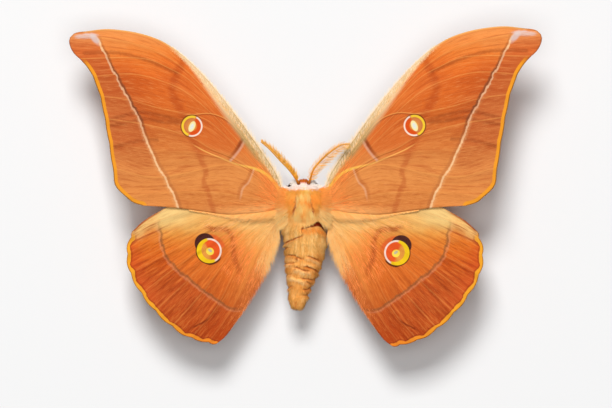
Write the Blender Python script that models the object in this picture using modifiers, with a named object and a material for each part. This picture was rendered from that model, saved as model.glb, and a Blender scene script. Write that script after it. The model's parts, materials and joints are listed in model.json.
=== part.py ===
"""Chinese oak silk moth (Antheraea pernyi), a spread specimen held over a small display stand.

Metres, +Z up. The head points towards +Y and +X is the moth's right side. The origin is on the
underside of the stand, straight below the thorax. Plan sizes below are in millimetres from the
middle of the thorax, and heights from the middle of the body.
"""

import math
import random

import bmesh
import bpy
import numpy as np
from mathutils import Matrix, Vector

MM = 0.001
GAP = 0.3
SEED = 7

# Stand
BASE_LENGTH = 58.0
BASE_DEPTH = 16.0
BASE_THICK = 2.5
BASE_BACK = 3.0
BASE_CORNER = 7.9
BASE_EDGE = 0.3
ROD_RADIUS = 1.2

# Body: heights are measured from the middle of the thorax
UNDER_THORAX = 5.0
THORAX_HALF_HEIGHT = 5.8
BODY_Z = BASE_THICK + UNDER_THORAX + THORAX_HALF_HEIGHT
THORAX_REAR = -5.2

# Stations along the thorax: y, half width, half height, centre height
THORAX = (
    (-5.2, 6.6, 5.3, -0.2),
    (-3.0, 6.9, 5.7, 0.0),
    (0.0, 6.9, 5.8, 0.0),
    (2.6, 6.8, 5.3, 0.4),
    (4.2, 6.4, 4.5, 0.9),
    (5.0, 5.7, 3.8, 1.2),
    (5.6, 4.5, 2.9, 1.6),
    (6.0, 2.9, 1.9, 1.9),
    (6.2, 1.2, 0.9, 2.0),
)
TEGULA_Y = 1.2
TEGULA_LENGTH = 4.4
TEGULA_ANGLE = 50.0
TEGULA_SPREAD = 21.0
TEGULA_RISE = 0.75
SCUTUM_RISE = 0.5

# Stations along the abdomen: y, sideways bend, half width, half height, centre height
ABDOMEN = (
    (-5.5, 0.1, 6.7, 5.3, -0.2),
    (-8.0, 0.2, 7.2, 5.7, -0.3),
    (-12.0, 0.4, 6.9, 5.6, -0.4),
    (-16.5, 0.1, 6.2, 5.2, -0.5),
    (-20.5, -0.5, 5.4, 4.6, -0.6),
    (-24.5, -1.2, 4.1, 3.7, -0.7),
    (-28.5, -1.7, 3.0, 2.8, -0.8),
    (-30.5, -1.9, 2.1, 2.0, -0.8),
    (-31.6, -1.9, 0.9, 0.9, -0.8),
)
SEGMENT_ENDS = (-9.0, -12.4, -15.6, -18.4, -21.0, -23.6, -26.2, -28.6)
SEGMENT_STEP = 0.34
SEGMENT_SLANT = 0.10

# Head: an egg whose rear sinks into the hollow front of the thorax
HEAD_Y = 4.9
HEAD_Z = -1.0
HEAD_HALF = (3.5, 2.9, 3.1)
EYE_AT = (3.5, 5.3, -1.0)
EYE_HALF = (1.3, 1.5, 1.9)
CREST_HALF = (0.75, 1.3, 0.9)
PALP_HALF = (0.6, 1.1, 0.7)

# Antennae: where each grows on the head, the plan points of its shaft, and how high it rises
ANTENNA_ROOT = (1.5, 6.6)
ANTENNA_NECK = 1.1
ANTENNA_RISE = 5.2
ANTENNA_ROOT_RADIUS = 0.45
ANTENNA_TIP_RADIUS = 0.26
ANTENNA_PLAN = {
    "left": ((-4.0, 10.2), (-7.1, 13.4), (-10.1, 16.6), (-12.8, 18.9)),
    "right": ((2.9, 10.4), (5.1, 13.2), (8.1, 15.9), (11.2, 17.9), (13.9, 18.2)),
}
# Side branches: the two directions around the shaft, in degrees from its outer side upwards
COMB_ANGLES = {"left": (128.0, 232.0), "right": (12.0, 122.0)}
COMB_LENGTHS = {"left": (2.3, 2.2), "right": (2.9, 1.9)}
COMB_PAIRS = 17
COMB_LEAN = 0.75
COMB_ROOT_RADIUS = 0.24
COMB_TIP_RADIUS = 0.11

# Wings: thickness of the membrane, height of the vein ridges, and how far each side is raised
MEMBRANE = 0.5
COSTA_THICK = 0.9
VEIN_RISE = 0.24
VEIN_WIDTH = 0.55
FOLD_DEPTH = 0.22
FORE_Z = 2.6
HIND_Z = 0.9
FORE_CAMBER = 0.9
HIND_CAMBER = 0.35
RAISED = {"left": 6.5, "right": 9.5}
FORE_LESS_RAISED = 0.4
WING_ROOT_X = 6.4
WING_SPAN = 64.0
TIP_DROOP = 1.6
REACH = {"left": 0.996, "right": 1.012}
ROWS = 14

# Plan of a right wing. A vein's last number is how far along the outer margin it ends.
FORE_COSTA = (
    (6.4, 4.4), (8.1, 9.0), (11.4, 14.3), (21.2, 28.1), (30.5, 39.4), (39.7, 47.6), (48.0, 51.3),
    (58.2, 52.9), (66.0, 52.2),
)
FORE_MARGIN = (
    (66.0, 52.2), (69.3, 51.3), (70.4, 49.2), (68.9, 45.6), (64.9, 41.5), (62.2, 36.0),
    (60.6, 30.6), (59.2, 23.1), (58.2, 17.1), (57.1, 9.6), (56.3, 5.6), (52.2, 1.5), (48.3, -0.2),
)
FORE_VEINS = (
    (((6.4, 3.5), (18.9, 21.9), (29.4, 34.4), (38.4, 42.8), (48.9, 47.9), (60.5, 50.3)), 0.06),
    (((6.5, 3.0), (12.6, 12.0), (21.4, 23.6), (32.5, 36.0), (40.0, 40.9), (49.0, 44.1)), 0.19),
    (((6.5, 2.5), (12.9, 11.1), (22.6, 22.4), (34.0, 33.0), (43.0, 37.4), (52.0, 39.4)), 0.30),
    (((6.5, 2.0), (13.3, 10.3), (23.8, 21.2), (30.5, 26.2), (43.0, 29.0), (52.0, 31.5)), 0.40),
    (((6.6, 1.5), (13.5, 8.9), (21.0, 13.9), (27.8, 16.9), (34.0, 20.4), (45.0, 23.7)), 0.51),
    (((6.6, 1.0), (13.0, 8.0), (20.4, 12.8), (26.5, 14.6), (34.0, 15.9), (45.0, 16.4)), 0.63),
    (((6.6, 0.5), (12.6, 7.1), (19.2, 11.2), (25.5, 11.9), (34.0, 10.0), (45.0, 8.3)), 0.75),
    (((6.7, -0.2), (15.0, 2.0), (25.0, 3.5), (35.0, 3.9), (43.0, 3.7)), 0.91),
)
FORE_DORSUM = ((6.9, -1.1), (13.5, -2.3), (22.5, -2.9), (30.0, -2.0), (39.0, -0.8), (48.3, -0.2))
HIND_COSTA = (
    (7.1, 0.2), (18.0, 2.1), (30.0, 1.8), (39.0, 0.1), (43.5, -2.0), (48.0, -4.7), (51.0, -7.4),
)
HIND_MARGIN = (
    (51.0, -7.4), (52.9, -13.2), (52.2, -19.8), (48.4, -27.0), (42.8, -33.6), (36.2, -38.8),
    (30.4, -40.9), (26.2, -41.8),
)
HIND_VEINS = (
    (((7.1, -0.3), (18.0, 0.5), (30.0, -0.5), (40.0, -3.4), (47.0, -6.6)), 0.05),
    (((7.1, -0.9), (18.0, -1.2), (30.0, -3.9), (42.0, -8.9)), 0.16),
    (((7.1, -1.5), (17.5, -2.8), (28.0, -7.4), (40.0, -14.0)), 0.28),
    (((7.1, -2.1), (17.0, -4.4), (26.5, -10.4), (38.0, -18.5)), 0.42),
    (((7.1, -2.7), (16.3, -6.0), (25.0, -13.4), (35.0, -22.8)), 0.56),
    (((7.1, -3.3), (15.5, -7.6), (23.0, -16.3), (31.0, -27.0)), 0.70),
    (((7.1, -3.9), (14.2, -9.4), (20.3, -19.0), (26.0, -30.5)), 0.84),
    (((7.1, -4.4), (11.7, -10.6), (16.4, -20.0), (21.3, -31.0)), 0.95),
)
HIND_DORSUM = (
    (7.2, -4.9), (8.7, -11.0), (12.9, -21.9), (16.5, -28.5), (20.4, -35.1), (23.5, -39.6),
    (26.2, -41.8),
)
FORE_WAVE = 0.18
HIND_WAVE = 0.45

# Legs of the right side, folded under the body: where each grows under the thorax, and its joints
LEG_ROOTS = {"front": (2.0, 2.2), "middle": (2.6, -0.9), "hind": (2.3, -3.9)}
LEGS = {
    "front": ((3.6, 4.3, -6.6), (5.0, 5.4, -6.6), (4.6, 3.4, -7.6), (3.8, 0.6, -8.8)),
    "middle": ((4.2, -1.1, -7.2), (5.6, -1.4, -7.2), (5.4, -4.0, -8.0), (4.6, -6.8, -9.0)),
    "hind": ((3.8, -6.0, -7.7), (4.9, -8.6, -7.8), (3.9, -12.0, -8.4), (2.8, -15.6, -9.0)),
}
LEG_COXA = 0.9
LEG_RADII = (0.6, 0.74, 0.7, 0.55, 0.3)

COLOURS = {
    "wing_fore": (0.72, 0.24, 0.07),
    "wing_hind": (0.62, 0.17, 0.04),
    "fur_thorax": (0.93, 0.44, 0.11),
    "fur_abdomen": (0.68, 0.34, 0.10),
    "fur_head": (0.66, 0.24, 0.04),
    "antenna": (0.68, 0.33, 0.08),
    "eye": (0.045, 0.018, 0.01),
    "leg": (0.45, 0.17, 0.05),
    "stand": (0.82, 0.81, 0.78),
    "rod": (0.55, 0.55, 0.57),
}


def clear_scene():
    """Empties the scene that the script runs in."""
    for obj in list(bpy.data.objects):
        bpy.data.objects.remove(obj)


def material(name):
    """A plain surface in one of the named colours."""
    found = bpy.data.materials.get(name)
    if found:
        return found
    made = bpy.data.materials.new(name)
    made.use_nodes = True
    shader = made.node_tree.nodes["Principled BSDF"]
    shader.inputs["Base Color"].default_value = (*COLOURS[name], 1.0)
    shader.inputs["Roughness"].default_value = 0.25 if name in ("eye", "rod") else 0.85
    shader.inputs["Metallic"].default_value = 1.0 if name == "rod" else 0.0
    return made


def add_object(name, mesh, look):
    """Puts a mesh in the moth's collection as one named object."""
    obj = bpy.data.objects.new(name, mesh)
    mesh.materials.append(material(look))
    MOTH.objects.link(obj)
    return obj


def curve_through(points, count):
    """Count + 1 points, evenly spaced, on a smooth curve through the given points."""
    p = np.array(points, float)
    p = np.vstack([2 * p[0] - p[1], p, 2 * p[-1] - p[-2]])
    fine = []
    for a, b, c, d in zip(p[:-3], p[1:-2], p[2:-1], p[3:]):
        t = np.linspace(0, 1, 24, endpoint=False)[:, None]
        fine.append(
            0.5 * (2 * b + (c - a) * t + (2 * a - 5 * b + 4 * c - d) * t**2 + (3 * b - a - 3 * c + d) * t**3)
        )
    fine = np.vstack([*fine, p[-2:-1]])
    along = np.concatenate([[0], np.cumsum(np.linalg.norm(np.diff(fine, axis=0), axis=1))])
    wanted = np.linspace(0, along[-1], count + 1)
    return np.stack([np.interp(wanted, along, column) for column in fine.T], 1)


def station(stations, y):
    """The values of a list of stations at y, by a smooth curve through them."""
    curve = curve_through(stations, 200)
    order = np.argsort(curve[:, 0])
    return [float(np.interp(y, curve[order, 0], column)) for column in curve[order, 1:].T]


def closed_mesh(name, points, faces):
    """A mesh from points in millimetres, its faces turned outwards."""
    mesh = bpy.data.meshes.new(name)
    mesh.from_pydata([tuple(MM * v for v in p) for p in points], [], faces)
    shape = bmesh.new()
    shape.from_mesh(mesh)
    bmesh.ops.recalc_face_normals(shape, faces=shape.faces)
    shape.to_mesh(mesh)
    shape.free()
    return mesh


def loft(name, rings):
    """Skins a list of rings, each with the same count of points, and closes both ends."""
    count = len(rings[0])
    points = [p for ring in rings for p in ring]
    faces = []
    for row in range(len(rings) - 1):
        for i in range(count):
            j = (i + 1) % count
            a, b = row * count, (row + 1) * count
            faces.append((a + i, a + j, b + j, b + i))
    faces.append(tuple(range(count)))
    faces.append(tuple(range(len(points) - count, len(points))))
    return closed_mesh(name, points, faces)


def cut_away(obj, cutters):
    """Takes the cutters' space out of an object, and removes them."""
    for cutter in cutters:
        modifier = obj.modifiers.new("cut", "BOOLEAN")
        modifier.operation = "DIFFERENCE"
        modifier.object = cutter
    bake(obj)
    for cutter in cutters:
        bpy.data.objects.remove(cutter)


def join_pieces(obj, pieces):
    """Joins separate closed pieces onto an object with one union, and removes them."""
    group = bpy.data.collections.new(obj.name + "_pieces")
    for piece in pieces:
        group.objects.link(piece)
    modifier = obj.modifiers.new("join", "BOOLEAN")
    modifier.operation = "UNION"
    modifier.operand_type = "COLLECTION"
    modifier.collection = group
    bake(obj)
    for piece in pieces:
        bpy.data.objects.remove(piece)
    bpy.data.collections.remove(group)


def bake(obj):
    """Applies an object's modifiers and keeps its largest closed surface."""
    graph = bpy.context.evaluated_depsgraph_get()
    mesh = bpy.data.meshes.new_from_object(obj.evaluated_get(graph))
    obj.modifiers.clear()
    shape = bmesh.new()
    shape.from_mesh(mesh)
    left = set(shape.verts)
    islands = []
    while left:
        island, edge = set(), [left.pop()]
        while edge:
            vertex = edge.pop()
            island.add(vertex)
            near = {e.other_vert(vertex) for e in vertex.link_edges} & left
            left -= near
            edge.extend(near)
        islands.append(island)
    largest = max(islands, key=lambda found: np.prod(np.ptp([v.co for v in found], axis=0)))
    loose = [v for island in islands if island is not largest for v in island]
    bmesh.ops.delete(shape, geom=loose, context="VERTS")
    shape.to_mesh(mesh)
    shape.free()
    obj.data = mesh


def ball(name, centre, half, look, grow=0.0, segments=20):
    """A ball squashed to three half sizes, about a centre given from the middle of the body."""
    mesh = bpy.data.meshes.new(name)
    shape = bmesh.new()
    bmesh.ops.create_uvsphere(shape, u_segments=segments, v_segments=segments // 2, radius=1.0)
    size = Matrix.Diagonal([MM * (h + grow) for h in half])
    bmesh.ops.transform(shape, matrix=size.to_4x4(), verts=shape.verts)
    place = Vector((centre[0], centre[1], centre[2] + BODY_Z)) * MM
    bmesh.ops.translate(shape, vec=place, verts=shape.verts)
    shape.to_mesh(mesh)
    shape.free()
    return add_object(name, mesh, look)


def bump(distance, width):
    """A smooth hill, one at no distance and nothing past the width."""
    t = np.clip(1 - abs(distance) / width, 0, 1)
    return t * t * (3 - 2 * t)


def thorax_relief(y, angle):
    """How far the shoulder covers and the back rise over the plain thorax, at an angle from +X."""
    degrees = math.degrees(angle)
    side = min(abs(degrees - TEGULA_ANGLE), abs(degrees - (180 - TEGULA_ANGLE)))
    tegula = TEGULA_RISE * bump(side, TEGULA_SPREAD) * bump(y - TEGULA_Y, TEGULA_LENGTH)
    return tegula + SCUTUM_RISE * bump(degrees - 90, 26) * bump(y + 0.5, 5.5)


def body_ring(y, half_width, half_height, centre_x, centre_z, relief=None, count=32):
    """One ring across the body, as points in millimetres."""
    ring = []
    for i in range(count):
        angle = 2 * math.pi * i / count
        out = relief(y, angle) if relief else 0.0
        x = centre_x + (half_width + out) * math.cos(angle)
        z = centre_z + (half_height + out) * math.sin(angle) + BODY_Z
        ring.append((x, y, z))
    return ring


def make_thorax():
    """The thorax, hollowed at its front where the head sits."""
    ys = [-5.2, -4.4, -3.4, -2.4, -1.4, -0.4, 0.6, 1.6, 2.6, 3.5, 4.3, 4.9, 5.4, 5.8, 6.15]
    rings = []
    for y in ys:
        half_width, half_height, centre_z = station(THORAX, y)
        rings.append(body_ring(y, half_width, half_height, 0, centre_z, thorax_relief))
    thorax = add_object("thorax", loft("thorax", rings), "fur_thorax")
    cutters = [head_ball("cut_head", GAP)]
    cutters += [eye_ball("cut_eye", side, GAP) for side in (-1, 1)]
    cut_away(thorax, cutters)
    return thorax


def abdomen_swell(y):
    """The step at the rear edge of each segment, where it overlaps the next one."""
    ends = (THORAX_REAR, *SEGMENT_ENDS, -32.0)
    for front, rear in zip(ends[:-1], ends[1:]):
        if rear <= y <= front:
            return SEGMENT_STEP * ((front - y) / (front - rear)) ** 1.6
    return 0.0


def make_abdomen():
    """The abdomen, bent a little to the left, with its segments telescoped and slanting."""
    ends = (THORAX_REAR - GAP, *SEGMENT_ENDS)
    ys = [ends[0]]
    for front, rear in zip(ends[:-1], ends[1:]):
        ys += [front + (rear - front) * share for share in (0.35, 0.7, 0.97)] + [rear - 0.12]
    ys += [-29.6, -30.5, -31.1, -31.5]
    rings = []
    for y in ys:
        bend, half_width, half_height, centre_z = station(ABDOMEN, y)
        swell = abdomen_swell(y)
        ring = body_ring(y, half_width + swell - 0.2, half_height + swell - 0.2, bend, centre_z, count=24)
        slant = SEGMENT_SLANT * min(1.0, (ends[0] - y) / 4)
        rings.append([(x, y - slant * (x - bend), z) for x, y, z in ring])
    return add_object("abdomen", loft("abdomen", rings), "fur_abdomen")


def head_ball(name, grow=0.0):
    return ball(name, (0, HEAD_Y, HEAD_Z), HEAD_HALF, "fur_head", grow)


def eye_ball(name, side, grow=0.0):
    x, y, z = EYE_AT
    return ball(name, (side * x, y, z), EYE_HALF, "eye", grow, segments=16)


def make_head():
    """The head with its crest between the feelers and two palps under the face."""
    head = head_ball("head")
    cut_away(head, [eye_ball("cut_eye", side, GAP) for side in (-1, 1)])
    crest = ball("crest", (0, HEAD_Y + 1.7, HEAD_Z + 1.9), CREST_HALF, "fur_head", segments=12)
    palps = [
        ball("palp", (side * 0.8, HEAD_Y + 2.4, HEAD_Z - 1.9), PALP_HALF, "fur_head", segments=10)
        for side in (-1, 1)
    ]
    join_pieces(head, [crest, *palps])


def tube(name, points, radii, look, sides=2):
    """A tapered tube with filled caps along points in millimetres, as a closed mesh."""
    curve = bpy.data.curves.new(name, "CURVE")
    curve.dimensions = "3D"
    curve.bevel_depth = MM
    curve.bevel_resolution = sides
    curve.use_fill_caps = True
    line = curve.splines.new("POLY")
    line.points.add(len(points) - 1)
    for place, point, radius in zip(line.points, points, radii):
        place.co = (*(MM * float(v) for v in point), 1.0)
        place.radius = float(radius)
    holder = bpy.data.objects.new(name + "_curve", curve)
    MOTH.objects.link(holder)
    graph = bpy.context.evaluated_depsgraph_get()
    mesh = bpy.data.meshes.new_from_object(holder.evaluated_get(graph))
    bpy.data.objects.remove(holder)
    shape = bmesh.new()
    shape.from_mesh(mesh)
    bmesh.ops.remove_doubles(shape, verts=shape.verts, dist=1e-6)
    bmesh.ops.recalc_face_normals(shape, faces=shape.faces)
    shape.to_mesh(mesh)
    shape.free()
    mesh.materials.clear()
    return add_object(name, mesh, look)


def head_surface(x, y):
    """A point on the head's upper side, and the direction straight out of it."""
    half = np.array(HEAD_HALF)
    flat = np.array([x, y - HEAD_Y]) / half[:2]
    spot = np.array([x, y - HEAD_Y, half[2] * math.sqrt(1 - flat @ flat)])
    out = spot / half**2
    return spot + (0, HEAD_Y, HEAD_Z + BODY_Z), out / np.linalg.norm(out)


def antenna_line(side, sign, count):
    """The shaft's line: straight out of the head, then outwards and forwards while it rises."""
    spot, out = head_surface(sign * ANTENNA_ROOT[0], ANTENNA_ROOT[1])
    plan = ANTENNA_PLAN[side]
    start = spot[2] + ANTENNA_NECK * out[2]
    share = np.arange(1, len(plan) + 1) / len(plan)
    heights = start + ANTENNA_RISE * share**0.8
    rest = [(x, y, z) for (x, y), z in zip(plan, heights)]
    return curve_through((spot + GAP * out, spot + ANTENNA_NECK * out, *rest), count)


def comb_branch(name, root, along, across, length):
    """One side branch of a feeler: a tapered rod that leaves the shaft and curves towards its tip."""
    third = np.cross(along, across)
    rings = []
    for share in (0.0, 0.45, 1.0):
        lean = COMB_LEAN * share**1.4
        centre = root + length * (across * share * (1 - 0.2 * share) + along * lean * share)
        radius = COMB_ROOT_RADIUS + (COMB_TIP_RADIUS - COMB_ROOT_RADIUS) * share
        tilted = along - across * lean * 0.6
        tilted = tilted / np.linalg.norm(tilted)
        rings.append([centre + radius * tilted, centre + radius * third, centre - radius * tilted,
                      centre - radius * third])
    return add_object(name, loft(name, rings), "antenna")


def make_antenna(side, sign):
    """One feeler: a tapered shaft with a row of side branches down each of two sides."""
    line = antenna_line(side, sign, 18)
    radii = np.linspace(ANTENNA_ROOT_RADIUS, ANTENNA_TIP_RADIUS, len(line))
    antenna = tube("antenna_" + side, line, radii, "antenna", sides=1)
    dense = curve_through(line, 200)
    chance = random.Random(SEED)
    branches = []
    for i in range(COMB_PAIRS):
        share = 0.13 + 0.85 * i / (COMB_PAIRS - 1)
        at = round(share * 200)
        along = dense[min(at + 2, 200)] - dense[at - 2]
        along = along / np.linalg.norm(along)
        outer = np.cross(along, (0, 0, sign))
        outer = outer / np.linalg.norm(outer)
        upper = np.cross(outer, along) * sign
        fullness = 0.3 + 0.7 * math.sin(math.pi * (0.12 + 0.85 * share)) ** 0.8
        for degrees, longest in zip(COMB_ANGLES[side], COMB_LENGTHS[side]):
            angle = math.radians(degrees + chance.uniform(-5, 5))
            across = math.cos(angle) * outer + math.sin(angle) * upper
            length = longest * fullness * chance.uniform(0.92, 1.08)
            branches.append(comb_branch("branch", dense[at], along, across, length))
    join_pieces(antenna, branches)


def thorax_under(x, y):
    """The height of the thorax's underside at a plan point, from the middle of the body."""
    half_width, half_height, centre_z = station(THORAX, y)
    return centre_z - half_height * math.sqrt(1 - (x / half_width) ** 2)


def make_leg(place, side, sign):
    """One leg, folded under the body, its root straight below the thorax's underside."""
    x, y = LEG_ROOTS[place]
    top = thorax_under(x, y) - GAP - LEG_RADII[0] * x / THORAX[2][1]
    points = [(x, y, top), (x + 0.2, y, top - LEG_COXA), *LEGS[place]]
    placed = [(sign * px, py, pz + BODY_Z) for px, py, pz in points]
    line = curve_through(placed, 13)
    share = np.linspace(0, 1, len(line))
    radii = np.interp(share, np.linspace(0, 1, len(LEG_RADII)), LEG_RADII)
    tube(f"leg_{place}_{side}", line, radii, "leg", sides=1)


def vein_paths(costa, margin, veins, dorsum, rows):
    """The lines that run from the root to the outer margin, and how far along it each one ends."""
    outer = curve_through(margin, 240)
    paths, ends = [curve_through(costa, rows)], [0.0]
    for points, end in veins:
        last = outer[round(end * 240)]
        paths.append(curve_through((*points, last), rows))
        ends.append(end)
    paths.append(curve_through(dorsum, rows))
    ends.append(1.0)
    return outer, paths, ends


def wing_lines(outer, paths, ends, wave):
    """Grid lines of a wing as (plan points, ridge share, fold share), from the front edge to the rear."""
    rows = len(paths[0])
    u = np.linspace(0, 1, rows)[:, None]
    lines = [(paths[0], 0.0, 0.0)]
    for i in range(len(paths) - 1):
        here, there = paths[i], paths[i + 1]
        width = np.maximum(np.linalg.norm(there - here, axis=1)[:, None], 0.01)
        foot = np.minimum(VEIN_WIDTH / width, 0.3)
        shares = [(foot, 0.0), (np.full_like(foot, 0.5), 1.0), (1 - foot, 0.0)]
        if i == 0:
            shares = shares[1:]
        if i == len(paths) - 2:
            shares = shares[:2]
        for share, fold in shares:
            line = here + (there - here) * share
            at = ends[i] + (ends[i + 1] - ends[i]) * float(share[-1, 0])
            edge = outer[round(at * 240)]
            bulge = wave * math.sin(math.pi * float(share[-1, 0])) * outwards(outer, at)
            line = line + (edge + bulge - line[-1]) * u**4
            lines.append((line, 0.0, fold))
        is_vein = i + 1 < len(paths) - 1
        lines.append((there, 1.0 if is_vein else 0.0, 0.0))
    return lines


def outwards(outer, at):
    """The outward direction of the outer margin at a share of its length."""
    i = min(max(round(at * 240), 1), 239)
    along = outer[i + 1] - outer[i - 1]
    return np.array([-along[1], along[0]]) / np.linalg.norm(along)


def thorax_side(y, z):
    """How far out the thorax reaches at y, at a height over the middle of the body."""
    half_width, half_height, centre_z = station(THORAX, y)
    angle = math.asin(min(max((z - centre_z) / half_height, -1.0), 1.0))
    return (half_width + thorax_relief(y, angle)) * math.cos(angle)


def wing_height(plan, root_z, raised, camber, chord_share):
    """The height of a wing's middle surface over the middle of the body."""
    out = plan[:, 0] - WING_ROOT_X
    rise = math.tan(math.radians(raised)) * out - TIP_DROOP * (out / WING_SPAN) ** 3
    arch = camber * math.sin(math.pi * chord_share) * np.clip(out / 20, 0, 1)
    return root_z + rise + arch


def make_wing(name, side, costa, margin, veins, dorsum, root_z, less_raised, camber, wave, look):
    """One wing: a thin membrane whose main veins are ridges raised in both of its faces."""
    outer, paths, ends = vein_paths(costa, margin, veins, dorsum, ROWS)
    lines = wing_lines(outer, paths, ends, wave)
    sign = -1 if side == "left" else 1
    u = np.linspace(0, 1, ROWS + 1)
    top, bottom = [], []
    for k, (plan, ridge, fold) in enumerate(lines):
        chord_share = k / (len(lines) - 1)
        reach = 1 + (REACH[side] - 1) * u[:, None]
        plan = plan * reach
        plan[0, 0] = thorax_side(plan[0, 1], root_z) + GAP
        middle = wing_height(plan, root_z, RAISED[side] - less_raised, camber, chord_share) + BODY_Z
        middle = middle - FOLD_DEPTH * fold * u**1.5
        half = np.full(len(u), MEMBRANE / 2) + ridge * VEIN_RISE * (1 - 0.45 * u)
        if k == 0:
            half = half + (COSTA_THICK - MEMBRANE) / 2 * (1 - u)
        top.append(np.column_stack([sign * plan[:, 0], plan[:, 1], middle + half]))
        bottom.append(np.column_stack([sign * plan[:, 0], plan[:, 1], middle - half]))
    mesh = sheet_pair(name, np.array(top), np.array(bottom))
    return add_object(name, mesh, look)


def sheet_pair(name, top, bottom):
    """Closes two grids of points into one thin body, split into triangles alike on both faces."""
    lines, rows = top.shape[:2]
    points = [tuple(p) for p in np.vstack([top.reshape(-1, 3), bottom.reshape(-1, 3)])]
    below = lines * rows
    faces = []
    for i in range(lines - 1):
        for j in range(rows - 1):
            a, b = i * rows + j, (i + 1) * rows + j
            for corners in ((a, b, b + 1), (a, b + 1, a + 1)):
                faces.append(corners)
                faces.append(tuple(below + c for c in reversed(corners)))
    rim = [i * rows for i in range(lines)]
    rim += [(lines - 1) * rows + j for j in range(1, rows)]
    rim += [i * rows + rows - 1 for i in range(lines - 2, -1, -1)]
    rim += list(range(rows - 2, 0, -1))
    for a, b in zip(rim, rim[1:] + rim[:1]):
        faces += [(a, a + below, b), (b, a + below, b + below)]
    return closed_mesh(name, points, faces)


def make_wings():
    for side in ("left", "right"):
        make_wing(
            "forewing_" + side, side, FORE_COSTA, FORE_MARGIN, FORE_VEINS, FORE_DORSUM,
            FORE_Z, FORE_LESS_RAISED, FORE_CAMBER, FORE_WAVE, "wing_fore",
        )
        make_wing(
            "hindwing_" + side, side, HIND_COSTA, HIND_MARGIN, HIND_VEINS, HIND_DORSUM,
            HIND_Z, 0.0, HIND_CAMBER, HIND_WAVE, "wing_hind",
        )


def make_stand():
    """A flat base with round ends, and one short rod up to the thorax."""
    mesh = bpy.data.meshes.new("stand_base")
    shape = bmesh.new()
    bmesh.ops.create_cube(shape, size=1.0)
    size = Matrix.Diagonal((MM * BASE_LENGTH, MM * BASE_DEPTH, MM * BASE_THICK, 1.0))
    bmesh.ops.transform(shape, matrix=size, verts=shape.verts)
    upright = [e for e in shape.edges if abs(e.verts[0].co.z - e.verts[1].co.z) > MM]
    bmesh.ops.bevel(
        shape, geom=upright, offset=MM * BASE_CORNER, segments=7, affect="EDGES", profile=0.5
    )
    bmesh.ops.translate(shape, vec=(0, -MM * BASE_BACK, MM * BASE_THICK / 2), verts=shape.verts)
    shape.to_mesh(mesh)
    shape.free()
    base = add_object("stand_base", mesh, "stand")
    edges = base.modifiers.new("edges", "BEVEL")
    edges.width = MM * BASE_EDGE
    edges.segments = 1
    edges.limit_method = "ANGLE"
    edges.angle_limit = math.radians(60)

    low = BASE_THICK + GAP
    high = BODY_Z - THORAX_HALF_HEIGHT - GAP
    bpy.ops.mesh.primitive_cylinder_add(
        vertices=24, radius=MM * ROD_RADIUS, depth=MM * (high - low), location=(0, 0, MM * (low + high) / 2)
    )
    rod = bpy.context.object
    rod.name = "stand_rod"
    rod.data.materials.append(material("rod"))
    for group in rod.users_collection:
        group.objects.unlink(rod)
    MOTH.objects.link(rod)
    rod.data.shade_smooth()
    rod.data.set_sharp_from_angle(angle=math.radians(40))


def make_moth():
    make_thorax()
    make_abdomen()
    make_head()
    for side, sign in (("left", -1), ("right", 1)):
        eye_ball("eye_" + side, sign)
        make_antenna(side, sign)
        for place in LEGS:
            make_leg(place, side, sign)
    make_wings()
    make_stand()


clear_scene()
MOTH = bpy.data.collections.new("silk_moth")
bpy.context.scene.collection.children.link(MOTH)
make_moth()
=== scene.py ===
"""Looks of the Chinese oak silk moth: skin, coat, patterned wings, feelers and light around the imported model.

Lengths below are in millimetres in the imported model's own frame. Wing patterns are laid out on the
plan of a right wing, and the left wings read the same plan mirrored.
"""

import json
import math

import bmesh
import bpy
import numpy as np
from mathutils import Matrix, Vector

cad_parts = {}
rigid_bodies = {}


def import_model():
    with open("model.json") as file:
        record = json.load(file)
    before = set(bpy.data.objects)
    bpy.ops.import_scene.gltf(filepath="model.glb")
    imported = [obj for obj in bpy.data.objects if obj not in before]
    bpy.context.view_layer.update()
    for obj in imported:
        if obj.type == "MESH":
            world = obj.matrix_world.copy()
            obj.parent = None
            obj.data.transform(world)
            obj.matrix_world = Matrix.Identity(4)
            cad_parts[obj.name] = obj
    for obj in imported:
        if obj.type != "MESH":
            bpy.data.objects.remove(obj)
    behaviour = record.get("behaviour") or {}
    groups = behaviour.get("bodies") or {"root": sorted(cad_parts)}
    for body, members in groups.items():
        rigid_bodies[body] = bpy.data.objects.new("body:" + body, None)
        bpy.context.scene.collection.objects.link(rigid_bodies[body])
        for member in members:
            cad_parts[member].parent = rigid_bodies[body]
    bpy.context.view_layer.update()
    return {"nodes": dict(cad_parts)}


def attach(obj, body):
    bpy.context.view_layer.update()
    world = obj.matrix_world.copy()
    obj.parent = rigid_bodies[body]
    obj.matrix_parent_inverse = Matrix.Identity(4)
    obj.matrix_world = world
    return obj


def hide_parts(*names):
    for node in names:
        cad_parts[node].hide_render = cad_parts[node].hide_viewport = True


MM = 0.001
BODY_Z = 13.3
UP = np.array((0.0, 0.0, 1.0))
# How much brighter than its paint a surface shows, how much the paint of hair is raised because a
# coat shades itself, and the painted shade that deepens a hair's colour towards its root
LIT = 1.2
FUR_GAIN = 1.3
ROOT_SHADE = np.array((0.92, 0.72, 0.55))
SPLINE_STEPS = 24
RING_SIDES = 72
SIDES = {"left": -1, "right": 1}
RNG = np.random.default_rng(11)

# Wings, as in the solids
RAISED = {"left": 6.5, "right": 9.5}
REACH = {"left": 0.996, "right": 1.012}
WING_ROOT_X = 6.4
WING_SPAN = 64.0
TIP_DROOP = 1.6
FOLD_DEPTH = 0.22
SKIN_HALF = 0.08
RIDGE = 0.17
ROWS = 120
MARGIN_POINTS = 240
EDGE_PULL_BACK = 1.6

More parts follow.
